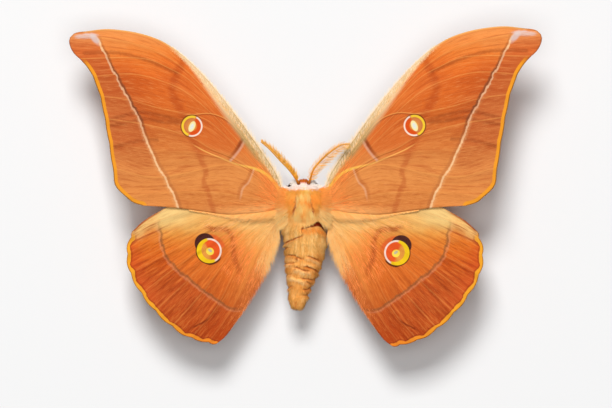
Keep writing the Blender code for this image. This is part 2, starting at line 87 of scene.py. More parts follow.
FORE = {
    "costa": (
        (6.4, 4.4), (8.1, 9.0), (11.4, 14.3), (21.2, 28.1), (30.5, 39.4), (39.7, 47.6), (48.0, 51.3),
        (58.2, 52.9), (66.0, 52.2),
    ),
    "margin": (
        (66.0, 52.2), (69.3, 51.3), (70.4, 49.2), (68.9, 45.6), (64.9, 41.5), (62.2, 36.0),
        (60.6, 30.6), (59.2, 23.1), (58.2, 17.1), (57.1, 9.6), (56.3, 5.6), (52.2, 1.5), (48.3, -0.2),
    ),
    "veins": (
        (((6.4, 3.5), (18.9, 21.9), (29.4, 34.4), (38.4, 42.8), (48.9, 47.9), (60.5, 50.3)), 0.06),
        (((6.5, 3.0), (12.6, 12.0), (21.4, 23.6), (32.5, 36.0), (40.0, 40.9), (49.0, 44.1)), 0.19),
        (((6.5, 2.5), (12.9, 11.1), (22.6, 22.4), (34.0, 33.0), (43.0, 37.4), (52.0, 39.4)), 0.30),
        (((6.5, 2.0), (13.3, 10.3), (23.8, 21.2), (30.5, 26.2), (43.0, 29.0), (52.0, 31.5)), 0.40),
        (((6.6, 1.5), (13.5, 8.9), (21.0, 13.9), (27.8, 16.9), (34.0, 20.4), (45.0, 23.7)), 0.51),
        (((6.6, 1.0), (13.0, 8.0), (20.4, 12.8), (26.5, 14.6), (34.0, 15.9), (45.0, 16.4)), 0.63),
        (((6.6, 0.5), (12.6, 7.1), (19.2, 11.2), (25.5, 11.9), (34.0, 10.0), (45.0, 8.3)), 0.75),
        (((6.7, -0.2), (15.0, 2.0), (25.0, 3.5), (35.0, 3.9), (43.0, 3.7)), 0.91),
    ),
    "vein_tone": (0.4, 0.5, 0.4, 0.35, 0.4, 0.15, 0.4, 0.3),
    "dorsum": ((6.9, -1.1), (13.5, -2.3), (22.5, -2.9), (30.0, -2.0), (39.0, -0.8), (48.3, -0.2)),
    "root_z": 2.6,
    "less_raised": 0.4,
    "front_lift": 0.0,
    "camber": 0.9,
    "wave": 0.18,
    "crease": 0.09,
    "shares": (5, 8, 9, 9, 9, 9, 10, 10, 8),
    "eye_shift": {"left": (0.1, -0.26), "right": (-0.4, -0.28)},
}
HIND = {
    "costa": (
        (7.1, 0.2), (18.0, 2.1), (30.0, 1.8), (39.0, 0.1), (43.5, -2.0), (48.0, -4.7), (51.0, -7.4),
    ),
    "margin": (
        (51.0, -7.4), (52.9, -13.2), (52.2, -19.8), (48.4, -27.0), (42.8, -33.6), (36.2, -38.8),
        (30.4, -40.9), (26.2, -41.8),
    ),
    "veins": (
        (((7.1, -0.3), (18.0, 0.5), (30.0, -0.5), (40.0, -3.4), (47.0, -6.6)), 0.05),
        (((7.1, -0.9), (18.0, -1.2), (30.0, -3.9), (42.0, -8.9)), 0.16),
        (((7.1, -1.5), (17.5, -2.8), (28.0, -7.4), (40.0, -14.0)), 0.28),
        (((7.1, -2.1), (17.0, -4.4), (26.5, -10.4), (38.0, -18.5)), 0.42),
        (((7.1, -2.7), (16.3, -6.0), (25.0, -13.4), (35.0, -22.8)), 0.56),
        (((7.1, -3.3), (15.5, -7.6), (23.0, -16.3), (31.0, -27.0)), 0.70),
        (((7.1, -3.9), (14.2, -9.4), (20.3, -19.0), (26.0, -30.5)), 0.84),
        (((7.1, -4.4), (11.7, -10.6), (16.4, -20.0), (21.3, -31.0)), 0.95),
    ),
    "vein_tone": (0.2, 0.3, 0.4, 0.5, 0.5, 0.6, 0.5, 0.4),
    "dorsum": (
        (7.2, -4.9), (8.7, -11.0), (12.9, -21.9), (16.5, -28.5), (20.4, -35.1), (23.5, -39.6),
        (26.2, -41.8),
    ),
    "root_z": 0.9,
    "less_raised": 0.0,
    "front_lift": 0.95,
    "camber": 0.35,
    "wave": 0.45,
    "crease": 0.3,
    "shares": (4, 6, 8, 9, 9, 9, 8, 7, 5),
    "eye_shift": {"left": (0.27, 0.26), "right": (-0.27, -0.24)},
}

# Lines of the pattern on the plan of a right wing
FORE_OUTER_LINE = (
    (61.8, 50.0), (60.8, 47.3), (59.5, 45.2), (58.6, 42.8), (57.1, 40.0), (55.6, 37.3), (54.2, 34.4),
    (52.7, 31.8), (51.2, 28.8), (49.5, 26.1), (48.6, 23.3), (47.5, 20.1), (46.2, 17.0), (45.0, 14.6),
    (43.8, 11.5), (41.7, 8.5), (40.8, 6.0), (39.3, 3.6), (38.0, 0.0), (37.4, -2.0),
)
FORE_MIDDLE_LINE = (
    (36.4, 47.0), (36.6, 42.8), (39.0, 37.1), (39.3, 33.2), (37.9, 30.2), (35.5, 26.0), (33.0, 19.4),
    (31.3, 15.0), (29.5, 10.4), (30.0, 7.2), (28.6, 3.3), (26.8, -3.0),
)
FORE_UPPER_BAR = ((17.6, 19.8), (19.2, 17.1), (20.7, 15.0), (22.4, 13.2))
FORE_LOWER_BAR = ((14.9, 11.2), (15.3, 10.0), (16.4, 7.5), (18.1, 5.4), (19.1, 2.6), (19.3, -3.0))
FORE_STEM = (
    (6.5, 3.3), (9.2, 7.3), (12.6, 10.1), (16.5, 11.4), (20.3, 12.3), (25.5, 14.4), (30.3, 16.5),
    (34.5, 19.0),
)
FORE_CELL_VEIN = (
    (16.6, 16.6), (17.1, 17.9), (18.3, 20.3), (21.1, 23.9), (24.3, 26.3), (28.3, 27.5), (33.1, 27.2),
    (38.0, 27.0),
)
# Creases in the dried wing, along which dark lines are painted as their shade
FORE_CREASE_SHADES = (
    ((37.0, 25.2), (43.0, 27.0), (49.4, 27.9), (55.0, 26.6), (59.5, 25.4)),
    ((37.5, 24.6), (42.0, 25.0), (47.5, 25.8), (53.0, 24.8), (59.0, 23.6)),
    ((44.0, 19.6), (50.0, 19.2), (55.0, 18.0), (58.3, 16.8)),
    ((38.0, 39.7), (45.8, 43.1), (51.0, 44.8), (56.2, 45.7), (62.0, 45.9), (66.0, 45.7)),
)
FORE_EYE = (33.4, 23.95)
HIND_OUTER_LINE = (
    (43.5, -0.5), (43.9, -4.0), (43.5, -7.0), (42.8, -10.5), (42.2, -13.4), (41.2, -15.9), (39.5, -18.0),
    (37.6, -19.9), (35.0, -22.0), (32.0, -24.4), (29.6, -26.3), (26.6, -28.4), (24.4, -30.0),
    (22.0, -31.3), (19.0, -31.6), (16.0, -31.0),
)
HIND_INNER_LINE = (
    (30.5, -6.0), (27.2, -7.2), (24.3, -7.2), (22.2, -8.3), (21.0, -11.2), (21.0, -15.0), (19.6, -19.0),
    (17.2, -23.0),
)
# A fold in the hindwing's rear corner, along which a dark line is painted as its shade
HIND_FOLD_SHADE = ((34.5, -37.6), (32.4, -36.4), (30.0, -35.2), (28.0, -33.6))
HIND_EYE = (28.1, -14.0)
HIND_EYE_SHADE = (29.4, -11.8)

# Body, as in the solids
THORAX = (
    (-5.2, 6.6, 5.3, -0.2),
    (-3.0, 6.9, 5.7, 0.0),
    (0.0, 6.9, 5.8, 0.0),
    (2.6, 6.8, 5.3, 0.4),
    (4.2, 6.4, 4.5, 0.9),
    (5.0, 5.7, 3.8, 1.2),
    (5.6, 4.5, 2.9, 1.6),
    (6.0, 2.9, 1.9, 1.9),
    (6.2, 1.2, 0.9, 2.0),
)
ABDOMEN = (
    (-5.5, 0.1, 6.7, 5.3, -0.2),
    (-8.0, 0.2, 7.2, 5.7, -0.3),
    (-12.0, 0.4, 6.9, 5.6, -0.4),
    (-16.5, 0.1, 6.2, 5.2, -0.5),
    (-20.5, -0.5, 5.4, 4.6, -0.6),
    (-24.5, -1.2, 4.1, 3.7, -0.7),
    (-28.5, -1.7, 3.0, 2.8, -0.8),
    (-30.5, -1.9, 2.1, 2.0, -0.8),
    (-31.6, -1.9, 0.9, 0.9, -0.8),
)
SEGMENT_ENDS = (-9.0, -12.4, -15.6, -18.4, -21.0, -23.6, -26.2, -28.6)
SEGMENT_SLANT = 0.10
ABDOMEN_FRONT = -5.2
ABDOMEN_REAR = -32.0
CLEFT_LINE = (
    (-0.6, -7.2), (0.6, -6.8), (2.2, -6.3), (3.4, -5.9), (4.5, -5.6), (5.6, -6.0), (6.4, -7.0), (7.0, -8.4),
)

# Wrinkles and ridges on the back of the abdomen, painted dark in the wrinkles as their shade and pale on the
# ridges as their highlight: half width, depth and line
WRINKLES = (
    (0.5, 0.9, ((-6.8, -12.2), (-5.8, -11.6), (-4.5, -10.9), (-3.0, -10.3), (-1.2, -9.5), (0.6, -8.6))),
    (0.4, 0.7, ((-7.2, -10.6), (-6.4, -11.0), (-5.4, -11.4))),
    (0.4, 0.55, ((-6.4, -13.3), (-5.4, -12.9), (-4.2, -12.6))),
    (0.4, 0.95, ((-6.4, -15.1), (-4.5, -15.1), (-2.8, -15.1), (-1.5, -15.8), (0.0, -16.4), (0.8, -16.5))),
    (0.42, 0.9, ((0.5, -15.1), (2.2, -15.5), (3.2, -16.0), (4.2, -16.5), (5.6, -17.1))),
    (0.45, 0.65, ((-6.2, -17.5), (-4.8, -17.5), (-3.4, -17.4), (-1.8, -17.1))),
    (0.42, 0.95, ((-3.4, -18.9), (-1.8, -18.8), (-0.6, -19.3), (0.9, -19.7), (2.1, -19.5))),
    (0.45, 1.0, ((-0.2, -18.1), (1.4, -18.6), (2.6, -19.0), (3.9, -19.7), (5.1, -20.5))),
    (0.4, 0.5, ((-5.6, -20.6), (-4.2, -20.8), (-3.2, -20.6))),
    (0.5, 0.85, ((-1.4, -21.5), (0.2, -22.0), (1.5, -22.3), (2.8, -22.4), (4.2, -21.8))),
    (0.5, 0.5, ((-5.0, -24.9), (-4.0, -24.5), (-3.0, -24.5))),
    (0.4, 0.6, ((-0.2, -22.9), (1.6, -23.6), (2.9, -24.4))),
    (0.45, 0.9, ((-0.4, -24.8), (0.8, -25.4), (1.8, -25.1), (2.8, -24.6))),
    (0.45, 0.8, ((-0.7, -26.9), (1.0, -27.1), (1.9, -27.0), (2.6, -26.8))),
    (0.6, 0.4, ((-2.2, -28.6), (-2.4, -29.8), (-2.3, -31.2))),
)
RIDGES = (
    (0.5, 0.6, ((-6.2, -18.2), (-4.5, -18.0), (-3.2, -18.3))),
    (0.55, 1.0, ((-3.4, -19.3), (-1.2, -19.8), (0.5, -20.3), (2.8, -20.4))),
    (0.5, 0.7, ((0.0, -15.6), (1.8, -16.2), (3.2, -16.9), (5.2, -17.8))),
    (0.55, 0.95, ((-5.8, -22.3), (-3.2, -22.1), (-1.4, -22.6), (0.0, -23.1), (1.6, -23.9))),
    (0.6, 0.4, ((-6.2, -16.0), (-4.6, -16.1), (-3.0, -16.2))),
    (0.5, 0.4, ((-1.4, -17.5), (0.0, -17.6), (1.4, -18.0), (3.0, -18.3))),
)
# The deeper orange of the coat behind the cleft, and the dark line painted at its left end as the shade of the
# gap
CLEFT_GLOW = (
    (1.25, 0.8, ((-2.0, -6.2), (-0.8, -7.1), (1.0, -7.9), (3.0, -7.5), (5.0, -7.7), (6.4, -8.8), (7.2, -10.4))),
)
CLEFT_END_SHADE = ((0.5, 0.9, ((-1.0, -7.05), (0.2, -6.9), (1.6, -6.45), (3.4, -5.9), (4.6, -5.6))),)
THORAX_COAT = 0.9
ABDOMEN_COAT = 0.65
HEAD_Y = 4.9
HEAD_Z = -1.0
HEAD_HALF = (3.5, 2.9, 3.1)
EYE_AT = (3.5, 5.3, -1.0)
EYE_HALF = (1.3, 1.5, 1.9)
EYE_SHOWS = (4.3, 5.75)

# Feelers and legs, as in the solids
ANTENNA_ROOT = (1.5, 6.6)
ANTENNA_NECK = 1.1
ANTENNA_RISE = 5.2
ANTENNA_PLAN = {
    "left": ((-4.0, 10.2), (-7.1, 13.4), (-10.1, 16.6), (-12.8, 18.9)),
    "right": ((2.9, 10.4), (5.1, 13.2), (8.1, 15.9), (11.2, 17.9), (13.9, 18.2)),
}
COMB_ANGLES = {"left": (134.0, 222.0), "right": (8.0, 134.0)}
COMB_LENGTHS = {"left": (2.55, 2.45), "right": (3.0, 2.1)}
COMB_CLUMPS = {"left": 0.42, "right": 0.24}
COMB_STEPS = 38
SHAFT_STEPS = 120
LEG_STEPS = 40
LEG_ROOTS = {"front": (2.0, 2.2), "middle": (2.6, -0.9), "hind": (2.3, -3.9)}
LEGS = {
    "front": ((3.6, 4.3, -6.6), (5.0, 5.4, -6.6), (4.6, 3.4, -7.6), (3.8, 0.6, -8.8)),
    "middle": ((4.2, -1.1, -7.2), (5.6, -1.4, -7.2), (5.4, -4.0, -8.0), (4.6, -6.8, -9.0)),
    "hind": ((3.8, -6.0, -7.7), (4.9, -8.6, -7.8), (3.9, -12.0, -8.4), (2.8, -15.6, -9.0)),
}

# Camera, whose frame is as wide as the photograph at the wings' level
PHOTO_PIXELS = 612
MM_PER_PIXEL = 0.3
LOOKED_AT = (0.75, 0.3, 18.0)
LENS = 500.0
SENSOR = 36.0


# Colours, given as they look on screen


def linear(*rgb):
    """A screen colour from 0 to 255 as linear light."""
    c = np.array(rgb, float) / 255
    return np.where(c <= 0.04045, c / 12.92, ((c + 0.055) / 1.055) ** 2.4)


def rgba(*rgb):
    """A screen colour as the paint that shows it under this scene's light."""
    return (*(linear(*rgb) / LIT), 1.0)


# Curves and noise


def spline(points, count):
    """Count + 1 points, evenly spaced, on a smooth curve through the given points."""
    p = np.array(points, float)
    p = np.vstack([2 * p[0] - p[1], p, 2 * p[-1] - p[-2]])
    fine = []
    for a, b, c, d in zip(p[:-3], p[1:-2], p[2:-1], p[3:]):
        t = np.linspace(0, 1, SPLINE_STEPS, endpoint=False)[:, None]
        fine.append(
            0.5 * (2 * b + (c - a) * t + (2 * a - 5 * b + 4 * c - d) * t**2 + (3 * b - a - 3 * c + d) * t**3)
        )
    fine = np.vstack([*fine, p[-2:-1]])
    along = np.concatenate([[0], np.cumsum(np.linalg.norm(np.diff(fine, axis=0), axis=1))])
    wanted = np.linspace(0, along[-1], count + 1)
    return np.stack([np.interp(wanted, along, column) for column in fine.T], 1)


def station(stations, ys):
    """The columns of a list of stations at each y, by a smooth curve through them."""
    curve = spline(stations, 200)
    order = np.argsort(curve[:, 0])
    return np.stack([np.interp(ys, curve[order, 0], column) for column in curve[order, 1:].T])


def line_distance(points, nodes):
    """Distance from each plan point to a line, its sign by the side, and how far along it is."""
    count = len(nodes) - 1
    start, step = nodes[:-1], np.diff(nodes, axis=0)
    best = np.full(len(points), 1e9)
    sign = np.zeros(len(points))
    share = np.zeros(len(points))
    for i in range(count):
        away = points - start[i]
        t = np.clip(away @ step[i] / (step[i] @ step[i]), 0, 1)
        off = away - t[:, None] * step[i]
        d = np.hypot(off[:, 0], off[:, 1])
        nearer = d < best
        best[nearer] = d[nearer]
        cross = step[i, 0] * away[:, 1] - step[i, 1] * away[:, 0]
        sign[nearer] = np.sign(cross[nearer])
        share[nearer] = (i + t[nearer]) / count
    return best, sign, share


LATTICE = RNG.random((64, 64))


def soft_noise(x, y):
    """Smooth noise from 0 to 1 over two coordinates, with one bump per unit."""
    xi, yi = np.floor(x).astype(int), np.floor(y).astype(int)
    fx, fy = x - xi, y - yi
    fx, fy = fx * fx * (3 - 2 * fx), fy * fy * (3 - 2 * fy)
    a = LATTICE[xi % 64, yi % 64]
    b = LATTICE[(xi + 1) % 64, yi % 64]
    c = LATTICE[xi % 64, (yi + 1) % 64]
    d = LATTICE[(xi + 1) % 64, (yi + 1) % 64]
    return (a * (1 - fx) + b * fx) * (1 - fy) + (c * (1 - fx) + d * fx) * fy


def hill(distance, width):
    t = np.clip(1 - np.abs(distance) / width, 0, 1)
    return t * t * (3 - 2 * t)


def rise(value, low, high):
    t = np.clip((value - low) / (high - low), 0, 1)
    return t * t * (3 - 2 * t)


def unit(v):
    return v / np.maximum(np.linalg.norm(v, axis=-1, keepdims=True), 1e-9)


def cover(under, over, share):
    """Rows of values with others laid over them, by a share for each row."""
    share = np.reshape(share, (-1, 1))
    return under * (1 - share) + over * share


# Meshes


def mesh_from(name, points, quads, triangles=None):
    """A mesh from points in millimetres and arrays of four-sided and three-sided faces."""
    mesh = bpy.data.meshes.new(name)
    triangles = np.zeros((0, 3), int) if triangles is None else np.asarray(triangles)
    quads = np.asarray(quads).reshape(-1, 4)
    loops = np.concatenate([quads.ravel(), triangles.ravel()]).astype(np.int32)
    starts = np.concatenate(
        [np.arange(len(quads)) * 4, len(quads) * 4 + np.arange(len(triangles)) * 3]
    ).astype(np.int32)
    mesh.vertices.add(len(points))
    mesh.vertices.foreach_set("co", (np.asarray(points) * MM).astype(np.float32).ravel())
    mesh.loops.add(len(loops))
    mesh.loops.foreach_set("vertex_index", loops)
    mesh.polygons.add(len(starts))
    mesh.polygons.foreach_set("loop_start", starts)
    mesh.update(calc_edges=True)
    mesh.validate()
    mesh.shade_smooth()
    return mesh


def new_object(name, data):
    obj = bpy.data.objects.new(name, data)
    bpy.context.scene.collection.objects.link(obj)
    return obj


def add_object(name, mesh, look, replaced=()):
    """Puts a mesh in the scene as a piece of the moth."""
    obj = new_object(name, mesh)
    mesh.materials.clear()
    mesh.materials.append(look)
    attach(obj, "root")
    if replaced:
        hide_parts(*replaced)


def set_float(mesh, name, values):
    layer = mesh.attributes.new(name, "FLOAT", "POINT")
    layer.data.foreach_set("value", np.asarray(values, np.float32).ravel())


def set_vector(mesh, name, values):
    layer = mesh.attributes.new(name, "FLOAT_VECTOR", "POINT")
    layer.data.foreach_set("vector", np.asarray(values, np.float32).ravel())


def set_tint(mesh, colours):
    layer = mesh.attributes.new("tint", "FLOAT_COLOR", "POINT")
    full = np.ones((len(colours), 4), np.float32)
    full[:, :3] = np.clip(colours, 0, 1)
    layer.data.foreach_set("color", full.ravel())


def set_uv(mesh, per_vertex):
    """A map for baking, from one place for each vertex."""
    layer = mesh.uv_layers.new(name="OFBake")
    corners = np.zeros(len(mesh.loops), np.int32)
    mesh.loops.foreach_get("vertex_index", corners)
    layer.data.foreach_set("uv", np.asarray(per_vertex, np.float32)[corners].ravel())


def within_paint(colours):
    """Colours scaled back, hue kept, to what a surface can reflect."""
    return colours / np.maximum(1.0, colours.max(-1, keepdims=True))


RING_SHARES = (0.0, 0.38, 0.72)


def strands(name, root, way, up, length, radius, tint, uv, look, bend=0.0):
    """Tapered hairs of three sides: each leaves its root along a way and bends as it goes.

    Their shading follows the surface under them, as light scattered through a coat does.
    """
    n = len(root)
    length = np.broadcast_to(np.asarray(length, float), (n,))
    radius = np.broadcast_to(np.asarray(radius, float), (n,))
    side = unit(np.cross(way, up))
    over = unit(np.cross(side, way))
    points = np.zeros((n, 10, 3))
    tone = np.zeros((n, 10, 3))
    place = np.zeros((n, 10, 2))
    facing = np.zeros((n, 10, 3))
    for k, t in enumerate((*RING_SHARES, 1.0)):
        centre = root + length[:, None] * (way * t + bend * t * t)
        width = (radius * (1 - 0.75 * t**1.5))[:, None]
        # Painted shade: each hair is painted deeper towards its root and a little brighter at its tip
        colour = within_paint(tint * FUR_GAIN * (ROOT_SHADE + (1.06 - ROOT_SHADE) * t**0.8))
        if k == 3:
            facing[:, 9] = up
            points[:, 9] = centre
            tone[:, 9] = colour
            place[:, 9] = uv + (0.003, 0.0)
            continue
        for j, (a, b) in enumerate(((1.0, -0.35), (-1.0, -0.35), (0.0, 0.7))):
            points[:, 3 * k + j] = centre + width * (a * side + b * over)
            facing[:, 3 * k + j] = unit(up + 0.3 * a * side)
            tone[:, 3 * k + j] = colour
            place[:, 3 * k + j] = uv + (0.001 * k, 0.001 * j)
    quads = []
    for k in (0, 1):
        for j in range(3):
            m = (j + 1) % 3
            quads.append((3 * k + j, 3 * k + m, 3 * k + 3 + m, 3 * k + 3 + j))
    tips = [(6 + j, 6 + (j + 1) % 3, 9) for j in range(3)]
    shift = (np.arange(n) * 10)[:, None, None]
    mesh = mesh_from(
        name,
        points.reshape(-1, 3),
        (np.array(quads)[None] + shift).reshape(-1, 4),
        (np.array(tips)[None] + shift).reshape(-1, 3),
    )
    set_tint(mesh, tone.reshape(-1, 3))
    set_uv(mesh, place.reshape(-1, 2))
    mesh.normals_split_custom_set_from_vertices(facing.reshape(-1, 3).astype(np.float32))
    add_object(name, mesh, look)


def round_mesh(rings):
    """Closed rings of points, in order, as (points, quads, triangles)."""
    rings = np.array(rings)
    count, sides = rings.shape[:2]
    index = np.arange(count * sides).reshape(count, sides)
    following = np.roll(index, -1, axis=1)
    quads = np.stack(
        [index[:-1].ravel(), following[:-1].ravel(), following[1:].ravel(), index[1:].ravel()], 1
    )
    points = np.vstack([rings.reshape(-1, 3), rings[0].mean(0), rings[-1].mean(0)])
    first, last = len(points) - 2, len(points) - 1
    triangles = [(following[0, j], index[0, j], first) for j in range(sides)]
    triangles += [(index[-1, j], following[-1, j], last) for j in range(sides)]
    return points, quads, triangles


def make_shaft(name, line, radii, sides, tone, map_width, look, replaced):
    """A closed tube along a line, with a colour for each of its rings."""
    along = unit(np.gradient(line, axis=0))
    across = unit(np.cross(along, UP))
    over = np.cross(across, along)
    turns = np.arange(sides) * 2 * math.pi / sides
    spokes = np.cos(turns)[:, None] * across[:, None] + np.sin(turns)[:, None] * over[:, None]
    mesh = mesh_from(name, *round_mesh(line[:, None] + radii[:, None, None] * spokes))
    set_tint(mesh, np.vstack([np.repeat(tone, sides, axis=0), tone[:1], tone[-1:]]))
    around = np.concatenate([np.tile(np.arange(sides) / sides, len(line)), [0, 0]])
    share = np.concatenate([np.repeat(np.linspace(0, 1, len(line)), sides), [0, 1]])
    set_uv(mesh, np.column_stack([around * map_width, share * 0.98]))
    add_object(name, mesh, look, [replaced])


# Materials


class Value:
    """A shader value or colour, on which plain arithmetic works."""

    def __init__(self, look, socket):
        self.look = look
        self.socket = socket

    def __add__(self, other):
        return self.look.math("ADD", self, other)

    def __sub__(self, other):
        return self.look.math("SUBTRACT", self, other)

    def __mul__(self, other):
        return self.look.math("MULTIPLY", self, other)

    def __truediv__(self, other):
        return self.look.math("DIVIDE", self, other)

    def __abs__(self):
        return self.look.math("ABSOLUTE", self)

    def at_least(self, other):
        return self.look.math("MAXIMUM", self, other)

    def sine(self):
        return self.look.math("SINE", self)

    def step(self, low, high):
        """Zero below low and one above high, or the other way round where low is the larger."""
        ends = (0, 1) if low < high else (1, 0)
        return self.look.remap(self, min(low, high), max(low, high), ends, "SMOOTHSTEP")

    def band(self, centre, half, soft):
        """One near the centre, zero further away than half."""
        return (abs(self - centre) - half).step(soft, -soft)


class Look:
    """A material whose colour is painted in layers, with short names for the shader nodes it needs."""

    def __init__(self, name, roughness, specular=0.12):
        self.material = bpy.data.materials.new(name)
        self.material.use_nodes = True
        self.tree = self.material.node_tree
        self.shader = self.tree.nodes["Principled BSDF"].inputs
        self.put(self.shader["Roughness"], roughness)
        self.put(self.shader["Specular IOR Level"], specular)
        self.colour = None

    def put(self, socket, value):
        if isinstance(value, Value):
            self.tree.links.new(value.socket, socket)
        elif isinstance(value, tuple):
            socket.default_value = value[: len(socket.default_value)]
        else:
            socket.default_value = float(value)

    def value(self, kind, inputs=(), output=0, **settings):
        """An output of a new shader node, whose inputs are given by name or number."""
        made = self.tree.nodes.new("ShaderNode" + kind)
        for key, setting in settings.items():
            setattr(made, key, setting)
        for key, given in dict(inputs).items():
            self.put(made.inputs[key], given)
        return Value(self, made.outputs[output])

    def math(self, operation, *values):
        return self.value("Math", enumerate(values), operation=operation)

    def read(self, name, output="Fac"):
        """What the mesh carries under a name."""
        return self.value("Attribute", output=output, attribute_name=name)

    def read_all(self, names):
        return [self.read(name) for name in names.split()]

    def plane(self, name):
        """The two coordinates of a flat map that the mesh carries."""
        x = self.value("SeparateXYZ", {0: self.read(name, "Vector")})
        return x, Value(self, x.socket.node.outputs[1])

    def place(self):
        return self.value("TexCoord", output="Object")

    def remap(self, value, low, high, ends=(0, 1), kind="LINEAR"):
        inputs = {"Value": value, "From Min": low, "From Max": high, "To Min": ends[0], "To Max": ends[1]}
        return self.value("MapRange", inputs, "Result", interpolation_type=kind)

    def mix(self, share, under, over):
        """One colour over another, each a value or a colour as it looks on screen."""
        under, over = (rgba(*colour) if isinstance(colour, tuple) else colour for colour in (under, over))
        return self.value("Mix", {"Factor": share, 6: under, 7: over}, 2, data_type="RGBA")

    def paint(self, share, over):
        """Lays a colour over the layers below it."""
        self.colour = self.mix(share, self.colour, over)

    def ramp(self, value, low, high, stops):
        """Colours along a value, each stop as its value and screen colour."""
        made = self.value("ValToRGB", {"Fac": self.remap(value, low, high)}, "Color")
        elements = made.socket.node.color_ramp.elements
        while len(elements) < len(stops):
            elements.new(0.5)
        for element, (at, *colour) in zip(elements, stops):
            element.position = (at - low) / (high - low)
            element.color = rgba(*colour)
        return made

    def noise(self, vector, scale, detail=2.0, rough=0.5, stretch=None):
        if stretch is not None:
            vector = self.value("VectorMath", {0: vector, 1: stretch}, operation="MULTIPLY")
        inputs = {"Vector": vector, "Scale": scale, "Detail": detail, "Roughness": rough}
        return self.value("TexNoise", inputs, "Fac")

    def bump(self, height, strength, distance):
        inputs = {"Strength": strength, "Distance": distance, "Height": height}
        self.put(self.shader["Normal"], self.value("Bump", inputs, "Normal"))

    def finish(self):
        self.put(self.shader["Base Color"], self.colour)
        return self.material


def distance(dx, dy):
    return dx.look.math("SQRT", dx * dx + dy * dy)


def eyespot(x, y, centre, turn):
    """Place in an eyespot, distance from its centre, and how far it faces the outer side, from -1 to 1."""
    dx, dy = x - centre[0], y - centre[1]
    r = distance(dx, dy)
    a = math.radians(turn)
    return dx, dy, r, (dx * math.cos(a) + dy * math.sin(a)) / r.at_least(0.01)


def oval(dx, dy, at, half, turn):
    """Distance from an oval's centre, one on its edge."""
    c, s = math.cos(math.radians(turn)), math.sin(math.radians(turn))
    px, py = dx - at[0], dy - at[1]
    return distance(px * (c / half[0]) + py * (s / half[0]), px * (-s / half[1]) + py * (c / half[1]))


def wing_base(look, waver):
    """Values that both wing patterns start from."""
    plan, flow = look.read("plan", "Vector"), look.read("flow", "Vector")
    fine = look.noise(flow, 1.0, 3.0, 0.6, stretch=(0.35, 5.5, 1.0))
    broad = look.noise(flow, 1.0, 2.0, 0.5, stretch=(0.09, 0.9, 1.0))
    cloud = look.noise(plan, 0.16, 3.0)
    grain = look.noise(plan, 7.0, 2.0, 0.7)
    wobble = (look.noise(plan, 0.5, 3.0) - 0.5) * waver
    break_up = look.noise(plan, 1.1)
    vein = look.read("vein_d").step(0.3, 0.06) * look.read("vein_s") * (break_up + 0.5)
    return *look.plane("plan"), flow, fine, broad, cloud, grain, wobble, break_up, vein


